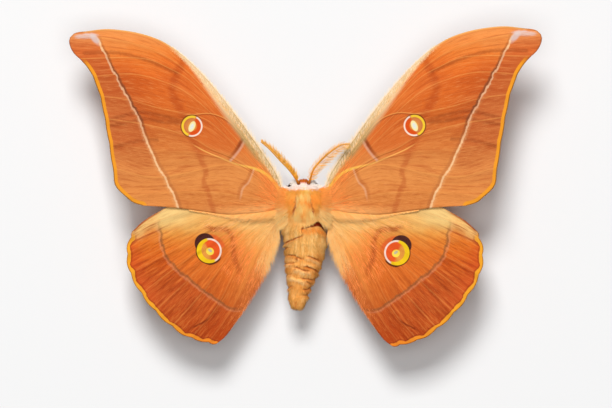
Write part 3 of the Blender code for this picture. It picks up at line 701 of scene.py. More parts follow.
def fore_look():
    """Scales of the forewing: orange to red-brown ground, pale line, eyespot and yellow edge."""
    look = Look("wing_fore_scales", 0.85, 0.05)
    paint = look.paint
    x, y, flow, fine, broad, cloud, grain, wobble, break_up, vein = wing_base(look, 1.3)
    outer_d, edge_d, edge_t, costa_d, costa_t = look.read_all("outer_d edge_d edge_t costa_d costa_t")

    # Ground on both sides of the pale line
    drift = y + (cloud - 0.5) * 7
    ground = look.ramp(drift, -4, 54, (
        (-2, 222, 134, 70), (4, 225, 137, 71), (8, 236, 150, 81), (14, 223, 136, 72), (19, 217, 122, 61),
        (26, 212, 106, 47), (33, 224, 109, 47), (37, 221, 103, 44), (42, 237, 118, 50), (46, 243, 135, 62),
        (51, 246, 152, 82),
    ))
    beyond = look.ramp(drift, -4, 54, (
        (-3, 236, 148, 80), (4, 233, 145, 77), (11, 223, 136, 74), (18, 202, 105, 54), (26, 204, 107, 57),
        (34, 198, 97, 49), (41, 200, 94, 47), (46, 220, 110, 55), (51, 240, 148, 86),
    ))
    look.colour = look.mix(outer_d.step(-0.4, 0.4), ground, beyond)
    paint(costa_d.step(8, 3) * costa_t.step(0.62, 0.45) * 0.6, (240, 128, 60))
    paint(distance((x - 25) / 12, (y - 22) / 8).step(1.15, 0.6) * 0.6, (219, 103, 45))
    paint(x.step(17, 8) * 0.7, (240, 150, 78))
    paint(look.read("rear_d").step(3.4, 0.6) * x.step(34, 12) * 0.85, (250, 178, 108))
    paint(x.step(10, 7.6) * y.step(2, -0.5) * 0.6, (240, 182, 108))
    paint(outer_d.step(-10, -0.5) * outer_d.step(0.4, -0.4) * y.band(33, 9, 6) * 0.62, (188, 80, 36))

    # Middle line, streaks, and painted shade along the creases
    near_middle = abs(look.read("middle_d") + wobble * 1.4)
    paint(near_middle.step(2, 0.3) * y.step(8, 20) * 0.45, (176, 62, 26))
    paint(near_middle.step(1.2, 0.2) * y.step(20, 12) * 0.5, (190, 88, 44))
    paint(broad.step(0.5, 0.72) * 0.42, (178, 74, 34))
    paint(broad.step(0.48, 0.26) * 0.25, (250, 164, 94))
    paint(fine.step(0.52, 0.7) * 0.36, (250, 172, 104))
    paint(fine.step(0.48, 0.3) * 0.42, (164, 66, 30))
    # Dark lines painted along the creases, as the shade in them
    crease = look.read("crease_d") + abs(wobble) * 0.9
    paint(crease.step(1, 0.1) * 0.5, (136, 56, 26))

    # Veins, with the thick stem and the vein round the cell
    paint(vein * 0.8, (250, 170, 92))
    stem_d, stem_t, cell_d, cell_t = look.read_all("stem_d stem_t cell_d cell_t")
    stem = (abs(stem_d) / (stem_t.step(0.75, 0.1) * 0.34 + 0.2)).step(1.3, 0.5) * stem_t.step(1, 0.85)
    paint(stem * 0.92, look.mix(stem_t.step(0.25, 0.6), (255, 200, 88), (251, 178, 96)))
    along = cell_t.step(0, 0.2) * cell_t.step(1, 0.8)
    paint(cell_d.band(0, 0.12, 0.14) * along * 0.8, (250, 170, 92))
    paint(cell_d.band(-0.3, 0.16, 0.2) * along * 0.6, (140, 58, 26))

    # Two bars near the root
    bar_d, bar_t, low_d, low_t = look.read_all("upper_bar_d upper_bar_t lower_bar_d lower_bar_t")
    bar_d, bar_on = bar_d + wobble * 0.4, bar_t.step(0, 0.02) * bar_t.step(1, 0.96)
    paint(bar_d.band(0.5, 0.55, 0.4) * bar_on * bar_t.step(1.3, 0.2) * 0.8, (130, 52, 28))
    paint(bar_d.band(-0.25, 0.35, 0.3) * bar_on * 0.6, (232, 178, 150))
    bar_d, bar_on = low_d + wobble * 0.6, low_t.step(0, 0.04) * y.step(0.5, 4)
    paint(bar_d.band(0.5, 0.5, 0.4) * bar_on * 0.34, (168, 80, 44))
    paint(bar_d.band(-0.2, 0.28, 0.25) * bar_on * 0.36, (246, 196, 160))

    # The pale line with its shadow and glow, and the patches at the tip
    line_d = outer_d + wobble * (y.step(20, 34) * 0.7 + 0.4)
    paint(line_d.band(-0.55, 0.36, 0.3) * y.band(34, 13, 9) * (break_up + 0.45) * 0.8, (112, 66, 44))
    paint(line_d.band(-0.75, 0.45, 0.4) * y.step(22, 12) * 0.35, (160, 90, 56))
    paint(line_d.band(0.5, break_up * 0.5, 0.45) * y.step(40, 20) * break_up * 0.5, (252, 196, 136))
    pale = line_d.band(0, break_up * 0.36 + 0.1, 0.16) * y.step(51, 49.5) * (break_up * 0.95 + 0.4)
    paint(pale, look.mix(y.step(14, 26) * y.step(48, 44), (254, 204, 152), (232, 178, 138)))
    patch = oval(x, y, (65.2, 50.8), (4.1, 0.95), -3) + wobble * 0.7
    paint(patch.step(1.15, 0.5) * (fine.step(0.4, 0.6) * 0.5 + 0.35), (228, 208, 204))
    patch = oval(x, y, (62.7, 49.9), (2.3, 1.05), 50) + wobble * 0.5
    paint(patch.step(1.25, 0.45) * 0.8, (226, 206, 202))

    # Edges
    band_on = edge_t.step(0.17, 0.24)
    paint((edge_d + wobble * 0.3).step(1.3, 1.05) * band_on * 0.92, (249, 162, 48))
    paint(edge_d.step(0.36, 0.16) * band_on * 0.75, (132, 86, 38))
    paint(edge_d.step(0.3, 0.1) * edge_t.step(0.22, 0.16) * 0.5, (160, 100, 64))
    paint(costa_d.step(0.5, 0.2) * costa_t.step(0.5, 0.62) * 0.7, (250, 190, 108))

    # Speckled scales along the front edge
    strand = look.noise(flow, 1.0, 3.0, 0.7, stretch=(0.9, 9.0, 1.0))
    wide = costa_t.step(0.78, 0.3) * costa_t.step(-0.06, 0.2)
    hair = ((costa_d + (strand - 0.5) * 3) / (wide * 3.4).at_least(0.05)).step(1.1, 0.55)
    speck = look.mix(strand.step(0.35, 0.65), (152, 124, 68), (228, 196, 136))
    cream = look.mix(costa_t.step(0.2, 0.42), speck, (246, 212, 164))
    paint(hair * costa_t.step(0.74, 0.6) * 0.9, cream)

    # Eyespot
    dx, dy, r, facing = eyespot(*look.plane("eye_plan"), FORE_EYE, 22)
    paint(r.band(3.3, 0.2, 0.14) * facing.step(-0.75, -0.1) * 0.8, (92, 46, 24))
    around = look.colour
    look.colour = look.mix(facing.step(-0.25, 0.15), (224, 84, 34), (216, 132, 72))
    paint(r.step(1.7, 1.1), (230, 150, 70))
    paint(r.step(2.35, 2.6) * facing.step(-0.1, 0.12), (250, 206, 60))
    paint(r.band(2.3, 0.18, 0.14) * facing.step(0, 0.3) * 0.4, (190, 96, 60))
    paint(r.step(2.62, 2.78) * facing.step(0, -0.16), (253, 226, 208))
    window = oval(dx, dy, (0, -0.1), (0.88, 1.66), 24)
    paint(window.step(1.12, 0.92), (252, 236, 170))
    paint(window.step(0.72, 0.45), (232, 234, 220))
    look.colour = look.mix(r.step(3.25, 3.1), around, look.colour)
    return finish_wing(look, grain, fine, vein.at_least(stem))


def hind_look():
    """Scales of the hindwing: cream front, orange middle, red-brown rim, ringed eyespot, yellow scallops."""
    look = Look("wing_hind_scales", 0.85, 0.05)
    paint = look.paint
    x, y, _, fine, broad, cloud, grain, wobble, break_up, vein = wing_base(look, 1.6)
    outer_d, outer_t, edge_d, edge_t, costa_d, costa_t, rear_d = look.read_all(
        "outer_d outer_t edge_d edge_t costa_d costa_t rear_d"
    )

    # Ground on both sides of the outer line
    drift = y + (cloud - 0.5) * 6
    ground = look.ramp(drift, -34, 2, (
        (-33, 200, 93, 39), (-27, 208, 100, 42), (-21, 222, 110, 46), (-14, 231, 120, 48),
        (-10.5, 236, 138, 58), (-8, 240, 164, 80), (-5, 240, 184, 102), (-2.5, 240, 196, 116),
        (1, 242, 206, 130),
    ))
    beyond = look.ramp(drift, -42, 2, (
        (-40, 184, 70, 28), (-34, 192, 82, 36), (-28, 199, 88, 41), (-22, 199, 87, 38), (-17, 210, 93, 36),
        (-12, 229, 117, 44), (-8, 226, 138, 66), (-4, 238, 170, 96),
    ))
    look.colour = look.mix(outer_d.step(-0.8, 0.8), ground, beyond)
    paint(x.step(24, 9) * 0.8, (248, 170, 88))
    paint((costa_d + x.step(41.5, 46.5) * 1.4 + wobble * 1.4).step(6.2, 2.2) * 0.75, (248, 208, 132))

    # Streaks, then the pale root and front, and painted light under the forewing's rear edge
    paint(broad.step(0.48, 0.66) * (outer_d.step(-6, 3) * 0.4 + 0.25), (158, 56, 24))
    paint(broad.step(0.47, 0.28) * 0.34, (250, 152, 76))
    paint(fine.step(0.52, 0.7) * 0.34, (250, 160, 84))
    paint(fine.step(0.48, 0.3) * (x.step(10, 26) * 0.3 + 0.16), (156, 58, 24))
    paint(y.step(-9, -3) * x.step(30, 38) * x.step(47, 41) * 0.5, (252, 214, 142))
    root = x.step(21, 11).at_least(y.step(-9, -4) * x.step(40, 26)) * y.step(-17, -9)
    paint(root * 0.62, (249, 184, 106))
    # Painted light: brighter ground where the forewing's rear edge casts its shadow on the hindwing
    paint(x.step(24, 14) * y.step(-9, -6) * 0.7, (255, 208, 130))
    red = edge_d.step(6.5, 1.2) * edge_t.step(0.05, 0.12) * edge_t.step(0.62, 0.4)
    paint(red * 0.42, (220, 84, 42))
    paint(vein * 0.5, (250, 158, 84))

    # Inner and outer lines
    inner_d, inner_t = look.read_all("inner_d inner_t")
    inner = abs(inner_d + wobble * 0.6).step(1.3, 0.2) * inner_t.step(1, 0.7) * inner_t.step(0, 0.12)
    paint(inner * 0.72, (176, 78, 36))
    line_d, faded = outer_d + wobble, outer_t.step(0.05, 0.2)
    paint(line_d.band(-0.22, 0.34, 0.34) * faded * (break_up + 0.4) * 0.7, (128, 86, 56))
    paint(line_d.band(0.42, 0.26, 0.3) * faded * (break_up + 0.3) * 0.36, (236, 168, 124))

    # Inner side, rear corner, and the painted shade along the fold in it
    rear = (rear_d + (fine - 0.5) * 3).step(4.2, 0.6) * y.step(-22, -14)
    paint(rear * 0.8, look.mix(fine.step(0.42, 0.6), (214, 128, 66), (250, 194, 122)))
    paint(rear_d.step(4.6, 0.5) * y.step(-14, -20) * y.step(-36, -28) * 0.5, (186, 78, 34))
    paint(y.step(-27, -38) * x.step(34, 26) * 0.15, (170, 60, 24))
    fold_d, fold_t = look.read_all("fold_d fold_t")
    fold = fold_d.band(0, break_up * 0.4 + 0.05, 0.2) * fold_t.step(0, 0.3) * fold_t.step(1, 0.7)
    # A dark line painted along the fold, as the shade in it
    paint(fold * 0.75, (118, 34, 14))

    # Scalloped edge
    scallop = abs((edge_t * (math.pi * 9)).sine())
    ratio = edge_d / (scallop * 0.35 + (wobble * 0.5 + 0.85))
    on = edge_t.step(0.02, 0.08)
    paint(ratio.band(1.2, 0.16, 0.16) * on * 0.5, (140, 46, 22))
    yellow = look.mix(edge_t.step(0.5, 0.95), (249, 172, 52), (244, 142, 50))
    paint(ratio.step(1.08, 0.9) * on * 0.94, yellow)
    paint(edge_d.step(0.26, 0.12) * 0.7, (160, 84, 32))
    paint(costa_d.step(0.6, 0.2) * costa_t.step(0.72, 0.84) * 0.8, (168, 64, 28))

    # Eyespot, with the dark shade before it
    eye_x, eye_y = look.plane("eye_plan")
    dx, dy, r, facing = eyespot(eye_x, eye_y, HIND_EYE, -20)
    shade_r = distance(eye_x - HIND_EYE_SHADE[0], eye_y - HIND_EYE_SHADE[1])
    paint(r.step(5.4, 4.6) * dy.step(0.2, 1.6) * dx.step(0.8, -0.6) * 0.8, (228, 96, 50))
    paint(shade_r.step(3.16, 2.96), (74, 34, 34))
    below = (dx * 0.3 + dy * -0.95).step(-1.6, -0.4) * (dx * -0.9 + dy * 0.45).step(2.8, 1.4)
    heavy = (dx * -0.66 + dy * -0.74).step(1.8, 3.4)
    ring_r = (r - 3.78) * (heavy * -0.5 + 1)
    paint(ring_r.band(0.1, 0.17, 0.1) * below * 0.95, (76, 34, 18))
    around = look.colour
    look.colour = look.mix(facing.step(-0.1, 0.4), (238, 92, 44), (232, 148, 66))
    paint((r * 14).sine().step(-0.2, 0.6) * facing.step(0.2, 0.6) * 0.35, (246, 190, 90))
    paint((r + facing * 0.6).step(2.75, 3) * facing.step(-0.35, -0.1), (248, 204, 40))
    paint(r.step(3.16, 3.3) * facing.step(-0.1, -0.3), (253, 222, 206))
    paint(oval(dx, dy, (-0.25, -0.2), (1.2, 1.1), 30).step(1.1, 0.92), (252, 222, 84))
    paint(oval(dx, dy, (-0.28, 0.08), (0.74, 0.42), 38).step(1.15, 0.75), (196, 186, 160))
    look.colour = look.mix(r.step(3.82, 3.7), around, look.colour)
    return finish_wing(look, grain, fine, vein)


def finish_wing(look, grain, fine, vein):
    """Grain of the scales, a duller underside, and fine relief."""
    look.paint(grain.step(0.5, 0.8) * 0.2, (255, 200, 136))
    look.paint(grain.step(0.48, 0.2) * 0.22, (110, 46, 22))
    look.paint(look.read("under"), look.mix(0.42, look.colour, (196, 138, 110)))
    deeper = {"Saturation": 1.012, "Value": 1.01, "Color": look.colour}
    look.colour = look.value("HueSaturation", deeper, "Color")
    look.bump(grain * 0.5 + fine + vein * 0.6, 0.55, 0.00012)
    return look.finish()


def fur_look():
    """Hair or skin whose colour is carried by the mesh."""
    look = Look("fur", 0.85)
    grain = look.noise(look.place(), 1800, 2.0, 0.6)
    look.colour = look.mix(grain.step(0.5, 0.25) * 0.14, look.read("tint", "Color"), (150, 70, 26))
    look.bump(grain, 0.3, 0.00005)
    return look.finish()


def eye_look():
    look = Look("compound_eye", 0.22)
    place = look.place()
    shade = look.value("TexVoronoi", {"Vector": place, "Scale": 7000}, "Distance").step(0.2, 0.7)
    look.colour = look.mix(shade, (88, 50, 28), (34, 18, 11))
    look.paint(look.noise(place, 900).step(0.45, 0.7) * 0.4, (122, 74, 38))
    look.bump(shade, 0.3, 0.00003)
    return look.finish()


def stand_look():
    look = Look("stand_matt", 0.6)
    speckle = look.noise(look.place(), 2500, 3.0, 0.6)
    look.colour = look.mix(speckle.step(0.35, 0.7), (226, 224, 219), (240, 238, 234))
    look.bump(speckle, 0.25, 0.00005)
    return look.finish()


def rod_look():
    look = Look("rod_steel", 0.32)
    look.put(look.shader["Metallic"], 1.0)
    rings = look.noise(look.place(), 1.0, 3.0, 0.7, stretch=(300.0, 300.0, 9000.0))
    look.colour = look.mix(rings, (176, 178, 182), (212, 213, 216))
    look.bump(rings, 0.2, 0.00002)
    return look.finish()


def floor_look():
    look = Look("floor_pale", 0.9)
    look.colour = look.mix(look.noise(look.place(), 3.0), (246, 246, 246), (248, 248, 248))
    return look.finish()


# Wings


def wing_paths(spec):
    outer = spline(spec["margin"], MARGIN_POINTS)
    paths, ends = [spline(spec["costa"], ROWS)], [0.0]
    for points, end in spec["veins"]:
        paths.append(spline((*points, outer[round(end * MARGIN_POINTS)]), ROWS))
        ends.append(end)
    paths.append(spline(spec["dorsum"], ROWS))
    ends.append(1.0)
    return outer, paths, ends


def wing_grid(spec, side):
    """The wing's middle surface as a grid: plan, lifted points and the values that its pattern reads."""
    outer, paths, ends = wing_paths(spec)
    u = np.linspace(0, 1, ROWS + 1)
    tones = (0.0, *spec["vein_tone"], 0.0)
    plans, folds, near, tone, shares = [], [], [], [], []
    for i in range(len(paths) - 1):
        here, there = paths[i], paths[i + 1]
        width = np.linalg.norm(there - here, axis=1)
        count = spec["shares"][i]
        last = i == len(paths) - 2
        for k in range(count + (1 if last else 0)):
            share = k / count
            line = here + (there - here) * share
            at = ends[i] + (ends[i + 1] - ends[i]) * share
            spot = min(max(round(at * MARGIN_POINTS), 1), MARGIN_POINTS - 1)
            along = outer[spot + 1] - outer[spot - 1]
            outwards = np.array([-along[1], along[0]]) / np.linalg.norm(along)
            wave = spec["wave"] * math.sin(math.pi * share)
            edge = outer[round(at * MARGIN_POINTS)] + wave * outwards
            line = line + (edge - line[-1]) * u[:, None] ** 4
            plans.append(line)
            folds.append(np.full(len(u), math.sin(math.pi * share)))
            first = share < 0.5
            near.append(width * (share if first else 1 - share))
            tone.append(np.full(len(u), tones[i] if first else tones[i + 1]))
            shares.append(at)
    plan = np.array(plans)
    chord = np.linspace(0, 1, len(plans))[:, None]
    reach = 1 + (REACH[side] - 1) * u[None, :, None]
    placed = plan * reach
    placed[:, 0, 0] -= EDGE_PULL_BACK
    out = placed[:, :, 0] - WING_ROOT_X
    raised = math.tan(math.radians(RAISED[side] - spec["less_raised"]))
    height = spec["root_z"] + BODY_Z + raised * out - TIP_DROOP * (out / WING_SPAN) ** 3
    height += spec["camber"] * np.sin(math.pi * chord) * np.clip(out / 20, 0, 1)
    height += spec["front_lift"] * rise(chord, 0.55, 0.12) * np.clip(out / 3, 0, 1) * rise(out, 46, 20)
    height -= FOLD_DEPTH * np.array(folds) * u[None] ** 1.5
    flow_u = np.broadcast_to(u[None] * 62, height.shape)
    flow_v = np.broadcast_to(np.array(shares)[:, None] * 55, height.shape)
    seed = 3.7 if side == "left" else 21.3
    creases = soft_noise(flow_u / 9 + seed, flow_v / 1.1) - 0.5
    creases += 0.5 * (soft_noise(flow_u / 4, flow_v / 0.6 + seed) - 0.5)
    height += spec["crease"] * creases * rise(u[None], 0.25, 0.7) * rise(1 - chord, 0.02, 0.2) * 2
    top = np.dstack([placed[:, :, 0] * SIDES[side], placed[:, :, 1], height])
    return {
        "plan": plan,
        "points": top,
        "vein_d": np.array(near),
        "vein_s": np.array(tone),
        "flow": np.dstack([flow_u, flow_v, np.zeros_like(flow_u)]),
        "u": u,
    }


def thicken(grid):
    """Half the wing's thickness at each point of the grid, more along the veins, none at the rim."""
    u = grid["u"][None]
    half = SKIN_HALF + RIDGE * np.exp(-((grid["vein_d"] / 0.3) ** 2)) * (grid["vein_s"] > 0) * (1 - 0.5 * u)
    half = np.broadcast_to(half, grid["vein_d"].shape).copy()
    half[0] += 0.22 * (1 - grid["u"])
    return half


def make_wing(name, spec, side, lines, look):
    """One wing as a thin closed sheet that carries the values its pattern reads."""
    grid = wing_grid(spec, side)
    half = thicken(grid)[:, :, None] * np.array((0.0, 0.0, 1.0))
    rows_across, rows_along = grid["points"].shape[:2]
    count = rows_across * rows_along
    points = np.vstack([(grid["points"] + half).reshape(-1, 3), (grid["points"] - half).reshape(-1, 3)])
    index = np.arange(count).reshape(rows_across, rows_along)
    a, b = index[:-1, :-1].ravel(), index[1:, :-1].ravel()
    c, d = index[1:, 1:].ravel(), index[:-1, 1:].ravel()
    upper = np.stack([a, b, c, d], 1)
    lower = np.stack([d, c, b, a], 1) + count
    rim = np.concatenate([index[:, 0], index[-1, 1:], index[-2::-1, -1], index[0, -2:0:-1]])
    following = np.roll(rim, -1)
    edge = np.stack([rim, rim + count, following + count, following], 1)
    faces = np.vstack([upper, lower, edge])
    mesh = mesh_from(name, points, faces if side == "right" else faces[:, ::-1])

    plan = grid["plan"].reshape(-1, 2)
    values = {"vein_d": grid["vein_d"].ravel(), "vein_s": grid["vein_s"].ravel()}
    for key, line in lines.items():
        distance, sign, share = line_distance(plan, spline(line, 90))
        values[key + "_d"] = distance * sign
        values[key + "_t"] = share
    values["edge_d"], _, values["edge_t"] = line_distance(plan, grid["plan"][:, -1])
    if "crease_0" in lines:
        creases = [np.abs(values.pop(f"crease_{k}_d")) for k in range(len(FORE_CREASE_SHADES))]
        values["crease_d"] = np.min(creases, 0)
    for key in ("costa", "rear"):
        values[key + "_d"] = np.abs(values[key + "_d"])
    for key, one_face in values.items():
        set_float(mesh, key, np.concatenate([one_face, one_face]))
    set_float(mesh, "under", np.repeat([0.0, 1.0], count))
    flat = np.column_stack([plan, np.zeros(count)])
    set_vector(mesh, "plan", np.vstack([flat, flat]))
    flat = flat - (*spec["eye_shift"][side], 0.0)
    set_vector(mesh, "eye_plan", np.vstack([flat, flat]))
    flow = grid["flow"].reshape(-1, 3)
    set_vector(mesh, "flow", np.vstack([flow, flow + (0.0, 0.0, 9.0)]))
    low, high = plan.min(0), plan.max(0)
    shape = (plan - low) / (high - low)
    above = shape * (0.49, 0.98) + (0.005, 0.01)
    set_uv(mesh, np.vstack([above, above + (0.5, 0.0)]))
    add_object(name, mesh, look, [name.replace("sheet_", "")])
    return grid


def on_wing(grid, across, along):
    """Points on a wing, with the ways along its length and across it, from shares of both."""
    points = grid["points"]
    lines, rows = points.shape[:2]
    i = np.clip(across * (lines - 1), 0, lines - 1.001)
    j = np.clip(along * (rows - 1), 0, rows - 1.001)
    i0, j0 = i.astype(int), j.astype(int)
    fi, fj = (i - i0)[:, None], (j - j0)[:, None]
    a, b = points[i0, j0], points[i0 + 1, j0]
    c, d = points[i0, j0 + 1], points[i0 + 1, j0 + 1]
    spot = (a * (1 - fi) + b * fi) * (1 - fj) + (c * (1 - fi) + d * fi) * fj
    return spot, unit(c + d - a - b), unit(b + d - a - c)


def wing_uv(spec, spot, side):
    """Where points on a wing fall on its plan, for baking."""
    plan = spot[:, :2] * (SIDES[side], 1.0)
    edge = np.array([*spec["costa"], *spec["margin"], *spec["dorsum"]])
    low, high = edge.min(0) - 1, edge.max(0) + 1
    return np.clip((plan - low) / (high - low), 0.0, 0.99)


def jitter(count, spread):
    return RNG.normal(0, spread, (count, 3))


def pick(colours, shares):
    """Blends a short list of colours by shares from 0 to 1."""
    table = np.array([linear(*c) for c in colours])
    places = np.linspace(0, 1, len(colours))
    return np.stack([np.interp(shares, places, column) for column in table.T], 1)


def vary(tint, amount=0.12):
    return tint * (1 + RNG.normal(0, amount, (len(tint), 1)))


def clear_of_eyespot(spot, side, length):
    """True where a hair of the hindwing keeps off its eyespot."""
    clear = np.ones(len(spot), bool)
    for centre, radius in ((HIND_EYE, 4.2), (HIND_EYE_SHADE, 3.4)):
        reach = np.hypot(spot[:, 0] * SIDES[side] - centre[0], spot[:, 1] - centre[1])
        clear &= reach > radius + length
    return clear


def wing_strands(name, slot, side, spot, way, size, radius, tint, fur, lift=0.03, drop=0.03):
    """One kind of hair on a wing, its roots lifted off the sheet and its ends settling back."""
    strands(
        f"{name}_{side}", spot + UP * lift, way, np.tile(UP, (len(spot), 1)), size, radius, tint,
        wing_uv(FORE if slot == "wing_fore" else HIND, spot, side), fur, bend=UP * -drop,
    )


def costal_hair(grid, side, sign, fur):
    """Grey-brown and cream hair along the forewing's front edge."""
    n = 4600
    along = RNG.random(n) ** 1.1 * 0.66
    reach = 0.11 * (1 - along / 0.85)
    across = RNG.random(n) ** 1.4 * reach
    spot, length_way, _ = on_wing(grid, across, along)
    front = unit(np.cross(length_way, UP) * -sign)
    mixed = RNG.uniform(0.1, 1.1, (n, 1))
    way = unit(length_way + front * mixed + UP * RNG.uniform(0.0, 0.1, (n, 1)) + jitter(n, 0.07))
    size = (1.1 + 1.7 * RNG.random(n) ** 1.6) * (1 - along) * rise(along, -0.05, 0.05)
    tint = pick(((158, 130, 74), (200, 164, 100), (222, 190, 132), (236, 212, 168)), RNG.random(n))
    dark = rise(RNG.random(n), 0.45, 0.75) * rise(along, 0.6, 0.1)
    tint = cover(tint, linear(128, 102, 54), 0.8 * dark)
    outer = 0.7 * rise(across / reach, 0.4, 0.0)
    tint = cover(tint, pick(((222, 196, 150), (242, 226, 196)), RNG.random(n)), outer)
    inner = 0.55 * rise(across / reach, 0.6, 1.0)
    tint = cover(tint, pick(((214, 142, 76), (240, 176, 110)), RNG.random(n)), inner)
    loose = rise(mixed[:, 0], 0.6, 1.0) * (1 - inner)
    tint = cover(tint, linear(250, 242, 224), 0.6 * loose)
    size = size * (1 + 0.25 * loose)
    wing_strands("costal_hair", "wing_fore", side, spot, way, size, 0.034, vary(tint), fur)


def fore_root_hair(grid, side, fur):
    n = 1300
    along = RNG.random(n) ** 1.3 * 0.16
    across = 0.04 + RNG.random(n) * 0.96
    spot, length_way, _ = on_wing(grid, across, along)
    way = unit(length_way + UP * RNG.uniform(0.0, 0.04, (n, 1)) + jitter(n, 0.12))
    size = RNG.uniform(2.0, 4.0, n) * (1 - along * 2.4)
    clumps = soft_noise(spot[:, 0] / 2.2, spot[:, 1] / 0.9)
    tint = pick(((212, 112, 50), (228, 136, 68), (246, 164, 90)), clumps * 0.8 + RNG.random(n) * 0.2)
    wing_strands("fore_root_hair", "wing_fore", side, spot, way, size, 0.04, vary(tint, 0.06), fur)


def fore_rear_fringe(grid, side, fur):
    n = 5200
    along = RNG.random(n) ** 1.3 * 0.66
    inside = RNG.random(n) ** 2.4
    across = 1 - inside * 0.1 * (1 - along / 0.8)
    spot, length_way, across_way = on_wing(grid, across, along)
    outward = (RNG.uniform(0.3, 1.5, n) * rise(1 - inside, 0.1, 0.95))[:, None]
    way = unit(length_way + across_way * outward + jitter(n, 0.06) - UP * 0.05)
    size = RNG.uniform(1.0, 2.3, n) * (1.05 - along * 1.2) * (1 + 1.2 * rise(0.5 - along, 0.0, 0.3))
    tint = pick(((240, 160, 86), (248, 184, 106), (252, 208, 140)), RNG.random(n))
    tint = cover(tint, linear(236, 176, 96), 0.4 * rise(0.12 - along, 0.0, 0.08))
    within = pick(((228, 140, 74), (240, 158, 86)), RNG.random(n))
    tint = vary(cover(tint, within, rise(inside, 0.02, 0.4)), 0.06)
    wing_strands("fore_rear_fringe", "wing_fore", side, spot, way, size, 0.04, tint, fur, drop=0.06)


def hind_root_hair(grid, side, fur):
    """Long hair over the hindwing's inner part, which keeps off the eyespot."""
    n = 5200
    along = RNG.random(n) ** 1.2 * 0.5
    across = 0.16 + RNG.random(n) ** 0.85 * 0.84
    spot, length_way, _ = on_wing(grid, across, along)
    size = RNG.uniform(2.4, 5.2, n) * (1 - along * 0.9)
    kept = clear_of_eyespot(spot + length_way * size[:, None] / 2, side, size / 2)
    spot, length_way, size, along = spot[kept], length_way[kept], size[kept], along[kept]
    n = len(spot)
    way = unit(length_way + UP * RNG.uniform(0.0, 0.035, (n, 1)) + jitter(n, 0.055))
    shade = RNG.random(n)
    tint = pick(((230, 144, 70), (238, 162, 82), (244, 178, 98), (246, 192, 118)), shade)
    # Cream hair towards the inner side and near the forewing's rear edge; near that edge the cream is partly
    # painted light against the forewing's shadow
    pale = rise(across, 0.7, 0.9)[kept] * rise(spot[:, 1], -12.0, -7.0)
    pale = np.maximum(rise(spot[:, 1], -9.0, -5.0), pale)
    tint = cover(tint, pick(((248, 184, 104), (252, 202, 126), (255, 218, 154)), shade), pale)
    deep = rise(along, 0.16, 0.36) * (1 - pale * 0.7)
    tint = cover(tint, pick(((214, 116, 58), (224, 130, 68), (236, 150, 84)), shade), deep)
    wing_strands("hind_root_hair", "wing_hind", side, spot, way, size, 0.036, vary(tint, 0.05), fur, lift=0.06)


def inner_fringe(grid, side, fur):
    n = 4800
    along = RNG.random(n) ** 1.25 * 0.86
    inside = RNG.random(n) ** 2.0
    spot, length_way, across_way = on_wing(grid, 1 - inside * 0.06, along)
    outward = RNG.uniform(0.05, 0.8, (n, 1)) * (rise(0.92 - along, 0.0, 0.3) * (1 - 0.8 * inside))[:, None]
    way = unit(length_way + across_way * outward + jitter(n, 0.08) + UP * RNG.uniform(-0.08, 0.08, (n, 1)))
    size = RNG.uniform(1.2, 2.6, n) * (1 - 0.7 * rise(along, 0.5, 0.9)) * (1 + 0.9 * rise(0.5 - along, 0.0, 0.3))
    tint = pick(((238, 166, 88), (248, 190, 114), (252, 212, 150)), RNG.random(n))
    dark = pick(((150, 70, 32), (190, 104, 54), (222, 144, 84)), RNG.random(n))
    tint = vary(cover(tint, dark, rise(along, 0.24, 0.44)))
    wing_strands("inner_fringe", "wing_hind", side, spot, way, size, 0.034, tint, fur, lift=0.0, drop=0.0)


def wing_hair(grids, fur):
    """Hair at the wings' roots, along both edges of the forewings and on the hindwings' inner side."""
    for side, sign in SIDES.items():
        costal_hair(grids["fore", side], side, sign, fur)
        fore_root_hair(grids["fore", side], side, fur)
        fore_rear_fringe(grids["fore", side], side, fur)
        hind_root_hair(grids["hind", side], side, fur)
        inner_fringe(grids["hind", side], side, fur)


# Body


def body_ring(y, half_width, half_height, x, z, out=0.0):
    turns = np.arange(RING_SIDES) * 2 * math.pi / RING_SIDES
    return np.column_stack([
        x + (half_width + out) * np.cos(turns),
        np.full(RING_SIDES, y),
        z + BODY_Z + (half_height + out) * np.sin(turns),
    ])


def thorax_relief(y):
    """The shoulder covers and the raised back over the plain thorax."""
    degrees = np.arange(RING_SIDES) * 360.0 / RING_SIDES
    side = np.minimum(np.abs(degrees - 50), np.abs(degrees - 130))
    tegula = 0.95 * hill(side, 23) * hill(y - 1.2, 4.8)
    back = 0.55 * hill(degrees - 90, 24) * hill(y + 0.8, 5.5)
    seam = 0.3 * hill(np.minimum(np.abs(degrees - 71), np.abs(degrees - 109)), 6) * hill(y - 0.5, 4.5)
    return tegula + back - seam


def segment_step(y):
    """The swell of each ring of the abdomen, up to its rear edge."""
    ends = (ABDOMEN_FRONT, *SEGMENT_ENDS, ABDOMEN_REAR)
    for front, rear in zip(ends[:-1], ends[1:]):
        if rear <= y <= front:
            share = (front - y) / (front - rear)
            return 0.36 * (share**1.3) * (1 - rise(share, 0.86, 1.0)) - 0.12
    return 0.0


def segment_wave(x, y, z):
    """How far the edges of the abdomen's rings wander forwards and back."""
    broad = soft_noise(x / 3.3 + 4, y / 2.6 + 11 + (z - BODY_Z) / 9) - 0.5
    small = soft_noise(x / 1.1 + 8, y / 1.5 + 3 + (z - BODY_Z) / 5) - 0.5
    return 1.3 * broad + 0.5 * small


def ball_rings(centre, half):
    x, y, z = centre
    turns = np.linspace(0.02, math.pi - 0.02, 24)
    return [
        body_ring(y + half[1] * math.cos(t), half[0] * math.sin(t), half[2] * math.sin(t), x, z)
        for t in turns
    ]


